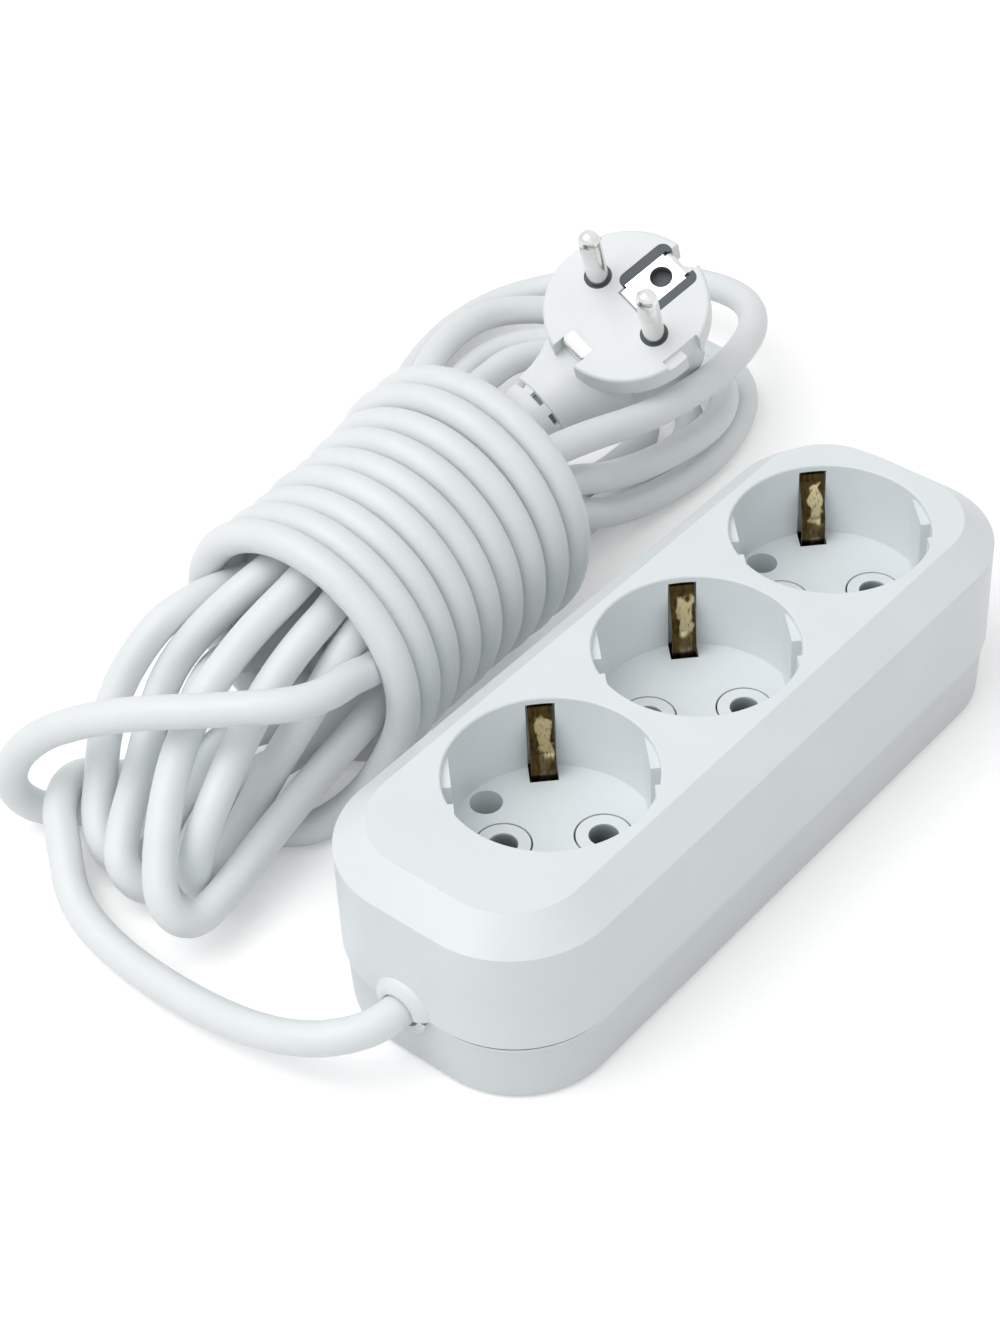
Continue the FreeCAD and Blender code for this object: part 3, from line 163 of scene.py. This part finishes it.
def brass_with_painted_highlight():
    """The earth clips' brass: brown with tarnish, darkened to paint the shade in the clip's slot,
    and a painted highlight down the middle of each strip, where light glints off its bend."""
    material, tree, place = start_material("rolled_brass_tarnish_with_painted_shade_and_highlight")
    wander = add_node(tree, "ShaderNodeTexNoise", [("Vector", place)],
                      values={"Scale": 1 / (2.4 * MM), "Detail": 1.0})
    strayed = add_node(tree, "ShaderNodeVectorMath", [(0, wander.outputs["Color"]), (2, place)],
                       operation="MULTIPLY_ADD", values={1: (3.4 * MM, 3.4 * MM, 5.0 * MM)})
    spot = add_node(tree, "ShaderNodeSeparateXYZ", [("Vector", strayed.outputs[0])])
    along = add_node(tree, "ShaderNodeMath", [(0, spot.outputs["X"])], operation="WRAP",
                     values={1: (SOCKET_X + SOCKET_PITCH / 2) * MM,
                             2: (SOCKET_X - SOCKET_PITCH / 2) * MM})
    streaks = add_node(tree, "ShaderNodeMapping", [("Vector", place)],
                       values={"Scale": (1.0, 1.0, 0.08)})
    drawn = add_node(tree, "ShaderNodeTexNoise", [("Vector", streaks.outputs["Vector"])],
                     values={"Scale": 1 / (0.5 * MM), "Detail": 3.0, "Roughness": 0.6})
    across = add_node(tree, "ShaderNodeMath", [(0, spot.outputs["Y"]), (1, along.outputs[0])],
                      operation="SUBTRACT")
    aside = add_node(tree, "ShaderNodeMath", [(0, across.outputs[0])], operation="ADD",
                     values={1: (SOCKET_X + 0.55) * MM})
    away = add_node(tree, "ShaderNodeMath", [(0, aside.outputs[0])], operation="ABSOLUTE")
    # Painted highlight across the strip: full within 1.3 mm of its middle line, gone at 2 mm.
    middle = add_node(tree, "ShaderNodeMapRange", [("Value", away.outputs[0])],
                      values={"From Min": 1.3 * MM, "From Max": 2.0 * MM,
                              "To Min": 1.0, "To Max": 0.0})
    share = add_node(tree, "ShaderNodeMapRange", [("Value", spot.outputs["Z"])],
                     values={"From Min": 28.5 * MM, "From Max": 44.5 * MM})
    # Painted highlight by height: paler at the strip's foot up to about 30 mm, gold from 35 to 41
    # mm up over the bend, and none above 42 mm.
    rise = add_node(tree, "ShaderNodeValToRGB", [("Fac", share.outputs["Result"])],
                    stops=[(0.0, colour("#C9C9C9")), (0.06, colour("#707070")),
                           (0.14, colour("#404040")), (0.32, colour("#5A5A5A")),
                           (0.42, colour("#FFFFFF")), (0.78, colour("#F0F0F0")),
                           (0.84, colour("#000000"))])
    painted_highlight = add_node(tree, "ShaderNodeMath", [(0, middle.outputs["Result"]),
                                               (1, rise.outputs["Color"])],
                      operation="MULTIPLY")
    uneven = add_node(tree, "ShaderNodeMapRange", [("Value", drawn.outputs["Fac"])],
                      values={"From Min": 0.34, "From Max": 0.46, "To Min": 0.35})
    painted_highlight = add_node(tree, "ShaderNodeMath", [(0, painted_highlight.outputs[0]),
                                               (1, uneven.outputs["Result"])],
                      operation="MULTIPLY")
    # The dark brown is tarnish, and also the painted shade in the clip's slot.
    brown = add_node(tree, "ShaderNodeValToRGB", [("Fac", drawn.outputs["Fac"])],
                     stops=[(0.35, colour("#3A2E1A")), (0.65, colour("#5F4D2C"))])
    tint = add_node(tree, "ShaderNodeMix", [("Factor", painted_highlight.outputs[0]),
                                            ("A", brown.outputs["Color"])],
                    data_type="RGBA", values={"B": colour("#F2E0B2")})
    rough = add_node(tree, "ShaderNodeMapRange", [("Value", painted_highlight.outputs[0])],
                     values={"To Min": 0.38, "To Max": 0.2})
    bump = add_node(tree, "ShaderNodeBump", [("Height", drawn.outputs["Fac"])],
                    values={"Strength": 0.3, "Distance": 0.02 * MM})
    shader = add_node(tree, "ShaderNodeBsdfPrincipled",
                      [("Base Color", tint.outputs["Result"]),
                       ("Roughness", rough.outputs["Result"]),
                       ("Normal", bump.outputs["Normal"])],
                      values={"Metallic": 1.0})
    close_material(tree, shader)
    return material


# White ABS, moulded: satin and a little cool. The tray's band just under the cover's edge is
# painted dark, as painted shade in the joint, and the tray's edge under it is a paler line, a
# painted highlight. The carriers' pin holes are painted grey below their rims, as painted shade
# going down into them, and so are the slot floors in the plug's neck.
WHITE_ABS = moulded_plastic("white_abs_moulded_cover", "#E9EFF1", "#E5EBED", 0.36, 0.9, 0.02)
# Painted shade and highlight on the tray, by height in mm: dark over the joint from 14.1 mm up, a
# pale line from 13.5 to 13.9 mm, and a slight dimming below 13.2 mm.
JOINT_PAINTED_SHADE_AND_HIGHLIGHT = [(13.2, "#F4F4F4"), (13.5, "#FFFFFF"), (13.9, "#FFFFFF"), (14.1, "#7A7F82"),
              (15.0, "#7A7F82")]
TRAY_ABS = moulded_plastic("white_abs_moulded_tray", "#EAEFF1", "#E6EBED", 0.4, 0.9, 0.02,
                           levels=JOINT_PAINTED_SHADE_AND_HIGHLIGHT)
# Painted shade in the carriers' pin holes: darker with depth below their rims, from 25.8 mm down
# to 21 mm.
PIN_HOLE_PAINTED_SHADE = [(21.0, "#7C8487"), (24.2, "#A3AAAD"), (25.4, "#C4CACD"), (25.8, "#FFFFFF")]
CARRIER_ABS = moulded_plastic("white_polyamide_moulded_carrier", "#EDF1F2", "#E6EBED", 0.45,
                              0.8, 0.02, levels=PIN_HOLE_PAINTED_SHADE)
PLUG_PVC = moulded_plastic("white_pvc_moulded_plug", "#EFF2F3", "#E9EDEF", 0.42, 1.1, 0.03, 0.05)
# Grey PVC for the floors of the neck sleeve's slots: painted shade in the slots.
SLOT_PAINTED_SHADE = moulded_plastic("white_pvc_painted_shade_in_the_slots", "#8B9193", "#757B7D", 0.6, 1.1,
                            0.03)
# The bridge's dark grey is its own colour, and it also paints the shade in the earth pocket and
# in the rings round the pins' feet.
BRIDGE_GREY_AND_PAINTED_SHADE = moulded_plastic("dark_grey_phenolic_bridge_with_painted_shade", "#565E62", "#4B5256", 0.5,
                              0.7, 0.03)
BROWN_CORE = moulded_plastic("brown_pvc_core", "#6A4028", "#5A3520", 0.45, 0.8, 0.01)
BLUE_CORE = moulded_plastic("blue_pvc_core", "#2C5FA8", "#264F8F", 0.45, 0.8, 0.01)
EARTH_CORE = moulded_plastic("green_yellow_pvc_core", "#C9C13A", "#4E8A3A", 0.45, 0.8, 0.01)
BRASS = metal("rolled_brass_dull", "#B4924F", "#8A6D36", 0.28, 2.6, 0.5, 0.02)
CLIP_BRASS_PAINTED_LIGHT = brass_with_painted_highlight()
NICKEL = metal("nickel_plated_brass", "#ECECEA", "#DCDCDA", 0.13, 9.0, 0.5, 0.004)
ZINC = metal("zinc_plated_steel", "#A9ABAC", "#7D8082", 0.35, 2.0, 0.4, 0.02)
CORD_PVC = moulded_plastic("white_pvc_extruded_cord", "#E9EDEE", "#E3E8E9", 0.42, 1.4, 0.03,
                           0.85)

FINISHES = {
    "top_cover": WHITE_ABS, "base_tray": TRAY_ABS, "cord_clamp": CARRIER_ABS,
    "case_screws": ZINC, "clamp_screws": ZINC, "earth_bar": BRASS, "live_bar": BRASS,
    "neutral_bar": BRASS, "core_brown": BROWN_CORE, "core_blue": BLUE_CORE,
    "core_green_yellow": EARTH_CORE, "plug_body": PLUG_PVC, "plug_bridge": BRIDGE_GREY_AND_PAINTED_SHADE,
    "plug_pin_left": NICKEL, "plug_pin_right": NICKEL, "plug_earth_strip": NICKEL,
    "plug_core_brown": BROWN_CORE, "plug_core_blue": BLUE_CORE,
    "plug_core_green_yellow": EARTH_CORE, "cord_end_in_plug": CORD_PVC,
    "cord_end_in_block": CORD_PVC,
}
for name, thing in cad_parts.items():
    if name.startswith("contact_carrier"):
        finish = CARRIER_ABS
    elif name.startswith("earth_clip"):
        finish = CLIP_BRASS_PAINTED_LIGHT
    else:
        finish = FINISHES.get(name, CORD_PVC)
    thing.data.materials.clear()
    thing.data.materials.append(finish)


def add_object(name, data):
    made = bpy.data.objects.new(name, data)
    bpy.context.scene.collection.objects.link(made)
    return made


# The cord's own line. It is drawn from the block to the plug, all in millimetres: free points
# in the part's frame, and the hank's and the winding's on the hank's axes.
def on_hank(s, t, z):
    """A point of the hank, in the part's frame."""
    return (HANK_X + s * math.cos(HANK_TURN) - t * math.sin(HANK_TURN),
            HANK_Y + s * math.sin(HANK_TURN) + t * math.cos(HANK_TURN), z)


LEAD = [CORD_HOLE, (-86.0, 2.0, 15.0), (-91.8, 5.6, 14.2), (-95.8, 12.4, 12.0),
        (-97.9, 23.0, 8.8), (-98.0, 37.5, 5.2), (-97.5, 54.0, 3.6), (-95.8, 68.0, 3.6),
        (-92.2, 79.0, 4.2)]
# The lead's hidden end, over the stray loop and then along the floor under the others.
UNDER = [(-82.5, 20.0, 8.0), (-76.5, 26.5, 11.8), (-67.5, 30.5, 11.0), (-58.5, 28.5, 4.2),
         (-53.0, 18.0, 3.6), (-53.4, 4.5, 3.6), (-53.4, -7.0, 3.6), (-49.0, -14.5, 3.6),
         (-42.0, -17.5, 4.4), (-35.5, -20.5, 8.2)]

# The winding: the radius of each turn from the far end on, loosest there and tightest in the
# middle, where it starts along the waist, and its axis's height. A loose turn's axis is higher,
# so that it clears the floor.
WRAP_RADII = [27.3, 27.5, 26.5, 26.1, 25.4, 25.8, 25.3, 25.7, 26.5, 26.7]
WRAP_TURNS = 8.6
WRAP_START = 30.8
WRAP_PITCH = 7.25
WRAP_Z = 30.05
FLOOR_CLEARANCE = 0.05
TURN_POINTS = 16
winding = []
for i in range(int(WRAP_TURNS * TURN_POINTS), -1, -1):
    a = 2 * math.pi * i / TURN_POINTS
    turn, part = divmod(i / TURN_POINTS, 1)
    radius = WRAP_RADII[int(turn)] * (1 - part) + WRAP_RADII[int(turn) + 1] * part
    spread = radius / math.cos(math.pi / TURN_POINTS)
    height = max(WRAP_Z, radius + CORD_DIAMETER / 2 + FLOOR_CLEARANCE)
    winding.append(on_hank(WRAP_START - WRAP_PITCH * i / TURN_POINTS, spread * math.cos(a),
                           height + spread * math.sin(a)))

# The crossing from the winding's first turn along the floor to the loops.
CROSSING = [(32.2, 26.6, 16.0), (36.0, 29.5, 9.0), (44.0, 36.0, 5.2), (58.0, 46.5, 4.2),
            (79.0, 59.0, 4.2), (100.5, 63.5, 4.6), (118.0, 60.5, 5.5)]

# Half loops in the order that the cord runs back through them, from the last to the first: the
# far one from its left side round to the right, the right side of the waist, the near one from
# the right to the left, and the left side of the waist.
FAR = [
    [(128.5, 52.0, 7.0), (135.0, 41.0, 10.0), (139.0, 27.0, 13.5), (140.0, 12.0, 16.5),
     (136.5, -1.5, 19.0), (125.0, -11.5, 22.0), (109.3, -16.2, 24.5), (91.6, -17.8, 27.5),
     (71.5, -17.3, 31.5), (50.0, -14.5, 38.5)],
    [(48.0, 17.5, 22.5), (60.5, 30.5, 13.5), (75.0, 42.8, 8.0), (91.0, 49.5, 5.4),
     (105.0, 49.0, 4.4), (116.0, 40.0, 4.2), (122.0, 24.0, 4.4), (122.5, 8.0, 5.6),
     (117.0, -8.0, 9.6), (105.3, -15.2, 11.2), (94.0, -16.6, 12.0), (77.0, -14.2, 14.0),
     (61.5, -11.5, 18.5), (47.0, -13.6, 29.0)],
    [(44.0, 17.5, 13.0), (55.0, 32.0, 7.4), (68.0, 46.0, 8.4), (84.0, 54.5, 10.4),
     (100.5, 56.0, 11.0), (113.5, 53.5, 9.0), (123.5, 43.0, 7.0), (129.0, 28.0, 4.6),
     (131.0, 11.0, 4.0), (128.5, -4.0, 3.8), (119.5, -12.5, 3.8), (107.0, -16.6, 3.8),
     (93.0, -17.6, 3.8), (76.5, -15.0, 5.0), (61.0, -12.0, 9.0), (47.0, -13.4, 20.0)],
    [(50.0, 14.5, 40.0), (57.5, 19.5, 33.0), (63.5, 25.5, 26.0), (70.0, 31.5, 19.5),
     (78.0, 36.5, 13.5), (87.5, 39.4, 9.8), (98.5, 40.5, 8.2), (108.5, 36.5, 6.0),
     (113.8, 25.5, 4.2), (115.0, 12.0, 3.7), (112.0, 0.0, 3.7), (104.0, -7.5, 3.7),
     (93.0, -9.6, 3.6), (80.0, -7.8, 3.6), (66.0, -5.8, 3.7), (56.0, -7.5, 6.5),
     (47.0, -11.5, 12.4)],
    [(50.0, 14.6, 31.0), (58.5, 20.0, 23.0), (66.0, 26.0, 15.0), (75.0, 30.8, 8.2),
     (86.0, 33.8, 4.2), (97.0, 31.4, 3.6), (104.8, 20.0, 3.6), (103.5, 6.0, 3.6),
     (95.0, -0.6, 3.6), (84.0, -0.6, 3.6), (70.0, 1.6, 4.0), (58.0, 0.0, 8.0),
     (47.0, -4.0, 14.0)],
]
RIGHT = [
    [(32.0, -13.3, 43.2), (0.0, -12.6, 41.8), (-28.0, -14.6, 42.4)],
    [(32.0, -13.3, 34.4), (0.0, -14.6, 33.4), (-28.0, -19.0, 33.8)],
    [(32.0, -13.3, 25.6), (0.0, -14.2, 24.2), (-28.0, -17.2, 21.5)],
    [(32.0, -13.3, 16.8), (0.0, -10.4, 16.8), (-28.0, -9.5, 14.8)],
    [(32.0, -4.45, 16.7), (0.0, -2.6, 15.6), (-28.0, -1.5, 12.8)],
]
NEAR = [
    [(-40.9, -10.9, 28.0), (-47.3, -7.8, 19.5), (-55.0, -5.9, 11.0), (-62.4, -5.6, 4.8),
     (-71.0, -7.0, 3.6), (-77.0, -8.5, 9.8), (-75.2, -9.7, 18.6), (-66.8, -8.7, 25.5),
     (-57.6, -7.4, 31.0), (-46.1, -6.2, 36.5), (-36.8, -7.7, 42.0)],
    [(-38.6, -20.8, 40.0), (-47.0, -22.3, 43.0), (-53.6, -19.9, 44.0), (-58.9, -13.7, 44.0),
     (-64.4, -4.7, 43.0), (-68.7, 7.0, 40.0), (-71.9, 19.2, 34.5), (-75.0, 29.5, 28.0),
     (-77.9, 35.3, 20.8), (-78.5, 37.5, 12.5), (-75.8, 35.4, 6.0), (-71.5, 30.2, 3.6),
     (-66.0, 22.4, 5.6), (-60.5, 16.6, 9.8), (-54.8, 12.1, 17.2), (-48.5, 11.6, 27.0),
     (-42.0, 11.4, 30.6), (-36.0, 13.0, 27.0)],
    [(-36.1, -15.3, 18.0), (-44.2, -14.3, 15.0), (-56.4, -14.3, 12.5), (-69.9, -15.0, 10.3),
     (-77.6, -15.5, 9.2), (-84.0, -15.5, 8.8), (-87.9, -13.6, 12.0), (-87.9, -10.8, 16.4),
     (-83.6, -7.4, 20.2), (-75.8, -2.9, 25.6), (-66.2, 1.2, 30.8), (-55.2, 3.2, 36.2),
     (-42.0, 1.6, 43.3)],
    [(-42.0, -5.5, 13.8), (-53.0, 1.2, 11.4), (-62.6, 1.8, 7.2), (-70.6, -0.6, 4.0),
     (-77.8, -0.8, 3.9), (-81.7, 1.9, 6.8), (-81.7, 5.6, 10.8), (-77.6, 8.4, 13.7),
     (-70.4, 11.6, 16.4), (-61.6, 15.6, 19.0), (-53.6, 18.8, 24.0), (-47.6, 18.6, 30.4),
     (-42.2, 15.6, 36.6), (-35.0, 10.8, 43.4)],
    [(-42.0, 4.0, 16.0), (-50.0, 6.5, 18.4), (-56.0, 7.9, 11.4), (-61.4, 9.0, 7.4),
     (-67.2, 7.8, 4.3), (-73.4, 7.8, 3.7), (-77.2, 11.0, 4.8), (-77.2, 15.0, 8.2),
     (-73.4, 18.8, 11.4), (-68.6, 21.4, 15.0), (-63.5, 24.4, 19.8), (-56.4, 26.2, 26.8),
     (-49.7, 24.8, 33.6), (-42.4, 22.4, 39.0)],
]
LEFT = [
    [(-27.0, -8.6, 44.6), (-14.0, -3.0, 42.5), (0.0, 4.5, 36.9), (32.0, 13.35, 25.6)],
    [(-28.0, 15.5, 20.0), (0.0, 14.5, 18.3), (30.0, 13.35, 16.7)],
    [(-28.0, -2.3, 49.4), (0.0, 5.1, 46.4), (32.0, 13.35, 43.4)],
    [(-26.5, 6.9, 47.4), (0.0, 10.0, 41.5), (32.0, 13.35, 34.5)],
    [(-28.0, 17.2, 39.6), (-5.0, 11.5, 31.0), (14.0, 6.5, 21.0)],
]
loops = list(CROSSING)
for far, right, near, left in zip(FAR, RIGHT, NEAR, LEFT):
    loops += far + right + near + left
# The last run out of the waist, and where it meets the plug's neck, which is in the part's frame.
TAIL = [(27.0, 4.45, 16.7), (35.0, 4.45, 16.7), (43.6, 7.6, 18.8), (51.95, 12.41, 22.2)]
NECK_END = (54.44, 87.34, 24.67)
route = (LEAD + [on_hank(*p) for p in UNDER] + winding + [on_hank(*p) for p in loops + TAIL]
         + [NECK_END])

line = bpy.data.curves.new("cord", "CURVE")
line.dimensions = "3D"
spline = line.splines.new("NURBS")
spline.points.add(len(route) - 1)
for point, place in zip(spline.points, route):
    point.co = [c * MM for c in place] + [1.0]
spline.order_u = 3
spline.use_endpoint_u = True
spline.resolution_u = 6
line.bevel_depth = CORD_DIAMETER / 2 * MM
line.bevel_resolution = 7
line.use_fill_caps = True
cord = add_object("cord", line)
line.materials.append(CORD_PVC)
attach(cord, "block_and_cord")
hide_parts("cord_lead", "cord_wrap", "cord_hank", "cord_tail")


def turned(mesh, outline, start, sweep, steps):
    """An outline of radii and lengths in mm, turned round the Z axis by some degrees."""
    whole = sweep == 360
    first = math.radians(start)
    corners = [mesh.verts.new((r * MM * math.cos(first), r * MM * math.sin(first), z * MM))
               for r, z in outline]
    edges = [mesh.edges.new(pair) for pair in zip(corners, corners[1:])]
    if len(corners) > 2:
        edges.append(mesh.edges.new((corners[-1], corners[0])))
    faces = [] if whole else [mesh.faces.new(corners)]
    bmesh.ops.spin(mesh, geom=corners + edges + faces, cent=(0, 0, 0), axis=(0, 0, 1),
                   angle=math.radians(sweep), steps=steps, use_merge=whole)


def add_moulding(name, mesh, sharp, place, *materials):
    """A smooth piece from a bmesh, with sharp edges above an angle in degrees, put in its place
    on the block or the plug."""
    bmesh.ops.recalc_face_normals(mesh, faces=mesh.faces)
    for face in mesh.faces:
        face.smooth = True
    data = bpy.data.meshes.new(name)
    mesh.to_mesh(data)
    mesh.free()
    data.set_sharp_from_angle(angle=math.radians(sharp))
    data.transform(place)
    for material in materials:
        data.materials.append(material)
    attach(add_object(name, data), "block_and_cord")


# The moulded sleeve on the plug's neck: a shoulder, a row of slots that lets it bend, and a
# ring. It is turned round the neck's axis, with U and W of the plug across it.
PLUG_FACE = Vector((78.5, 74.0, 51.0)) * MM
PLUG_U = Vector((-0.162, -0.932, -0.324)).normalized()
PLUG_W = Vector((-0.445, -0.224, 0.867)).normalized()
NECK_W = -15.0 * MM
SHOULDER = [(6.0, 10.0), (12.2, 10.0), (12.0, 13.0), (11.1, 16.0), (9.8, 19.0), (9.0, 22.0),
            (8.6, 25.9), (8.5, 26.3), (8.2, 26.5), (6.0, 26.5)]
SLOT_BOTTOM = [(6.6, 26.3), (6.6, 27.9)]
RING = [(6.0, 27.6), (7.9, 27.6), (8.15, 27.9), (8.0, 30.5), (7.8, 31.0), (7.4, 31.2),
        (6.0, 31.2)]
RIB = [(6.0, 26.4), (8.1, 26.4), (8.0, 27.7), (6.0, 27.7)]
SLOT_COUNT = 8
FIRST_RIB, RIB_SWEEP = 97, 20

mesh = bmesh.new()
# The slot floors take the second material, the painted shade in the slots.
turned(mesh, SLOT_BOTTOM, 0, 360, 72)
for face in mesh.faces:
    face.material_index = 1
for outline in (SHOULDER, RING):
    turned(mesh, outline, 0, 360, 72)
for i in range(SLOT_COUNT):
    turned(mesh, RIB, FIRST_RIB + 360 / SLOT_COUNT * i, RIB_SWEEP, 4)
neck_axes = Matrix((PLUG_U, PLUG_W, PLUG_U.cross(PLUG_W))).transposed().to_4x4()
add_moulding("plug_neck_sleeve", mesh, 35,
             Matrix.Translation(PLUG_FACE + PLUG_W * NECK_W) @ neck_axes, PLUG_PVC, SLOT_PAINTED_SHADE)

# The cover's moulding round the cord's hole: a soft hood over the cord, above the joint. It is
# half a turn round the hole's axis, from one side over the top to the other.
HOOD = [(3.5, -0.6), (3.5, 1.2), (3.8, 1.65), (4.3, 1.7), (5.0, 1.35), (5.85, 0.75), (6.3, 0.2),
        (6.5, -0.1), (6.5, -0.6)]
mesh = bmesh.new()
turned(mesh, HOOD, 0, 180, 24)
out_of_hole = Matrix(((0, 0, -1), (-1, 0, 0), (0, 1, 0))).to_4x4()
add_moulding("cord_hole_hood", mesh, 50,
             Matrix.Translation(Vector(CORD_HOLE) * MM) @ out_of_hole, WHITE_ABS)


# Floor, backdrop, lamps and camera.
def lamp(name, at, aim, size, watts):
    data = bpy.data.lights.new(name, "AREA")
    data.size = size
    data.energy = watts
    thing = add_object(name, data)
    thing.location = at
    thing.rotation_mode = "QUATERNION"
    thing.rotation_quaternion = (Vector(aim) - Vector(at)).to_track_quat("-Z", "Y")


def seen_directly(tree):
    """One for rays from the camera, a mirror or glass, and nought for the light on a surface."""
    rays = add_node(tree, "ShaderNodeLightPath")
    seen = add_node(tree, "ShaderNodeMath", [(0, rays.outputs["Is Camera Ray"]),
                                             (1, rays.outputs["Is Glossy Ray"])],
                    operation="MAXIMUM")
    return add_node(tree, "ShaderNodeMath", [(0, seen.outputs[0]),
                                             (1, rays.outputs["Is Transmission Ray"])],
                    operation="MAXIMUM").outputs[0]


def studio_paper():
    """Matt paper, white to the camera and duller to the light, so that it throws less of it
    back up at the object. It still takes a soft shadow."""
    material, tree, _ = start_material("studio_paper")
    seen = seen_directly(tree)
    tone = add_node(tree, "ShaderNodeMix", [("Factor", seen)], data_type="RGBA",
                    values={"A": colour("#E6E7E7"), "B": colour("#FFFFFF")})
    paper = add_node(tree, "ShaderNodeBsdfDiffuse", [("Color", tone.outputs["Result"])])
    lift = add_node(tree, "ShaderNodeMath", [(0, seen)], operation="MULTIPLY",
                    values={1: 0.22})
    glow = add_node(tree, "ShaderNodeEmission", [("Strength", lift.outputs[0])])
    both = add_node(tree, "ShaderNodeAddShader", [(0, paper.outputs[0]), (1, glow.outputs[0])])
    close_material(tree, both)
    return material


# The floor is just under the object, so that the two faces don't share a plane.
FLOOR_Z = -0.0002
mesh = bmesh.new()
bmesh.ops.create_grid(mesh, x_segments=1, y_segments=1, size=6.0)
data = bpy.data.meshes.new("floor")
mesh.to_mesh(data)
mesh.free()
data.transform(Matrix.Translation((0, 0, FLOOR_Z)))
data.materials.append(studio_paper())
add_object("floor", data)

AIM = (0.0, 0.04, 0.0)
lamp("window", (-0.55, 0.3, 1.14), AIM, 1.1, 8.2)
lamp("fill", (-0.6, -0.8, 0.7), AIM, 1.0, 0.4)

world = bpy.data.worlds.new("studio")
bpy.context.scene.world = world
world.use_nodes = True
tree = world.node_tree
tree.nodes.clear()
strength = add_node(tree, "ShaderNodeMapRange", [("Value", seen_directly(tree))],
                    values={"To Min": 0.58, "To Max": 1.0})
sky = add_node(tree, "ShaderNodeBackground", [("Strength", strength.outputs[0])],
               values={"Color": colour("#FFFFFF")})
add_node(tree, "ShaderNodeOutputWorld", [("Surface", sky.outputs[0])])

camera_data = bpy.data.cameras.new("camera")
camera_data.lens = FOCAL_LENGTH
camera_data.sensor_width = SENSOR_WIDTH
camera = add_object("camera", camera_data)
turn = Matrix((CAMERA_RIGHT, CAMERA_UP, CAMERA_BACK)).transposed().to_4x4()
camera.matrix_world = Matrix.Translation(CAMERA_AT) @ turn
bpy.context.scene.camera = camera
bpy.context.scene.view_settings.view_transform = "Standard"
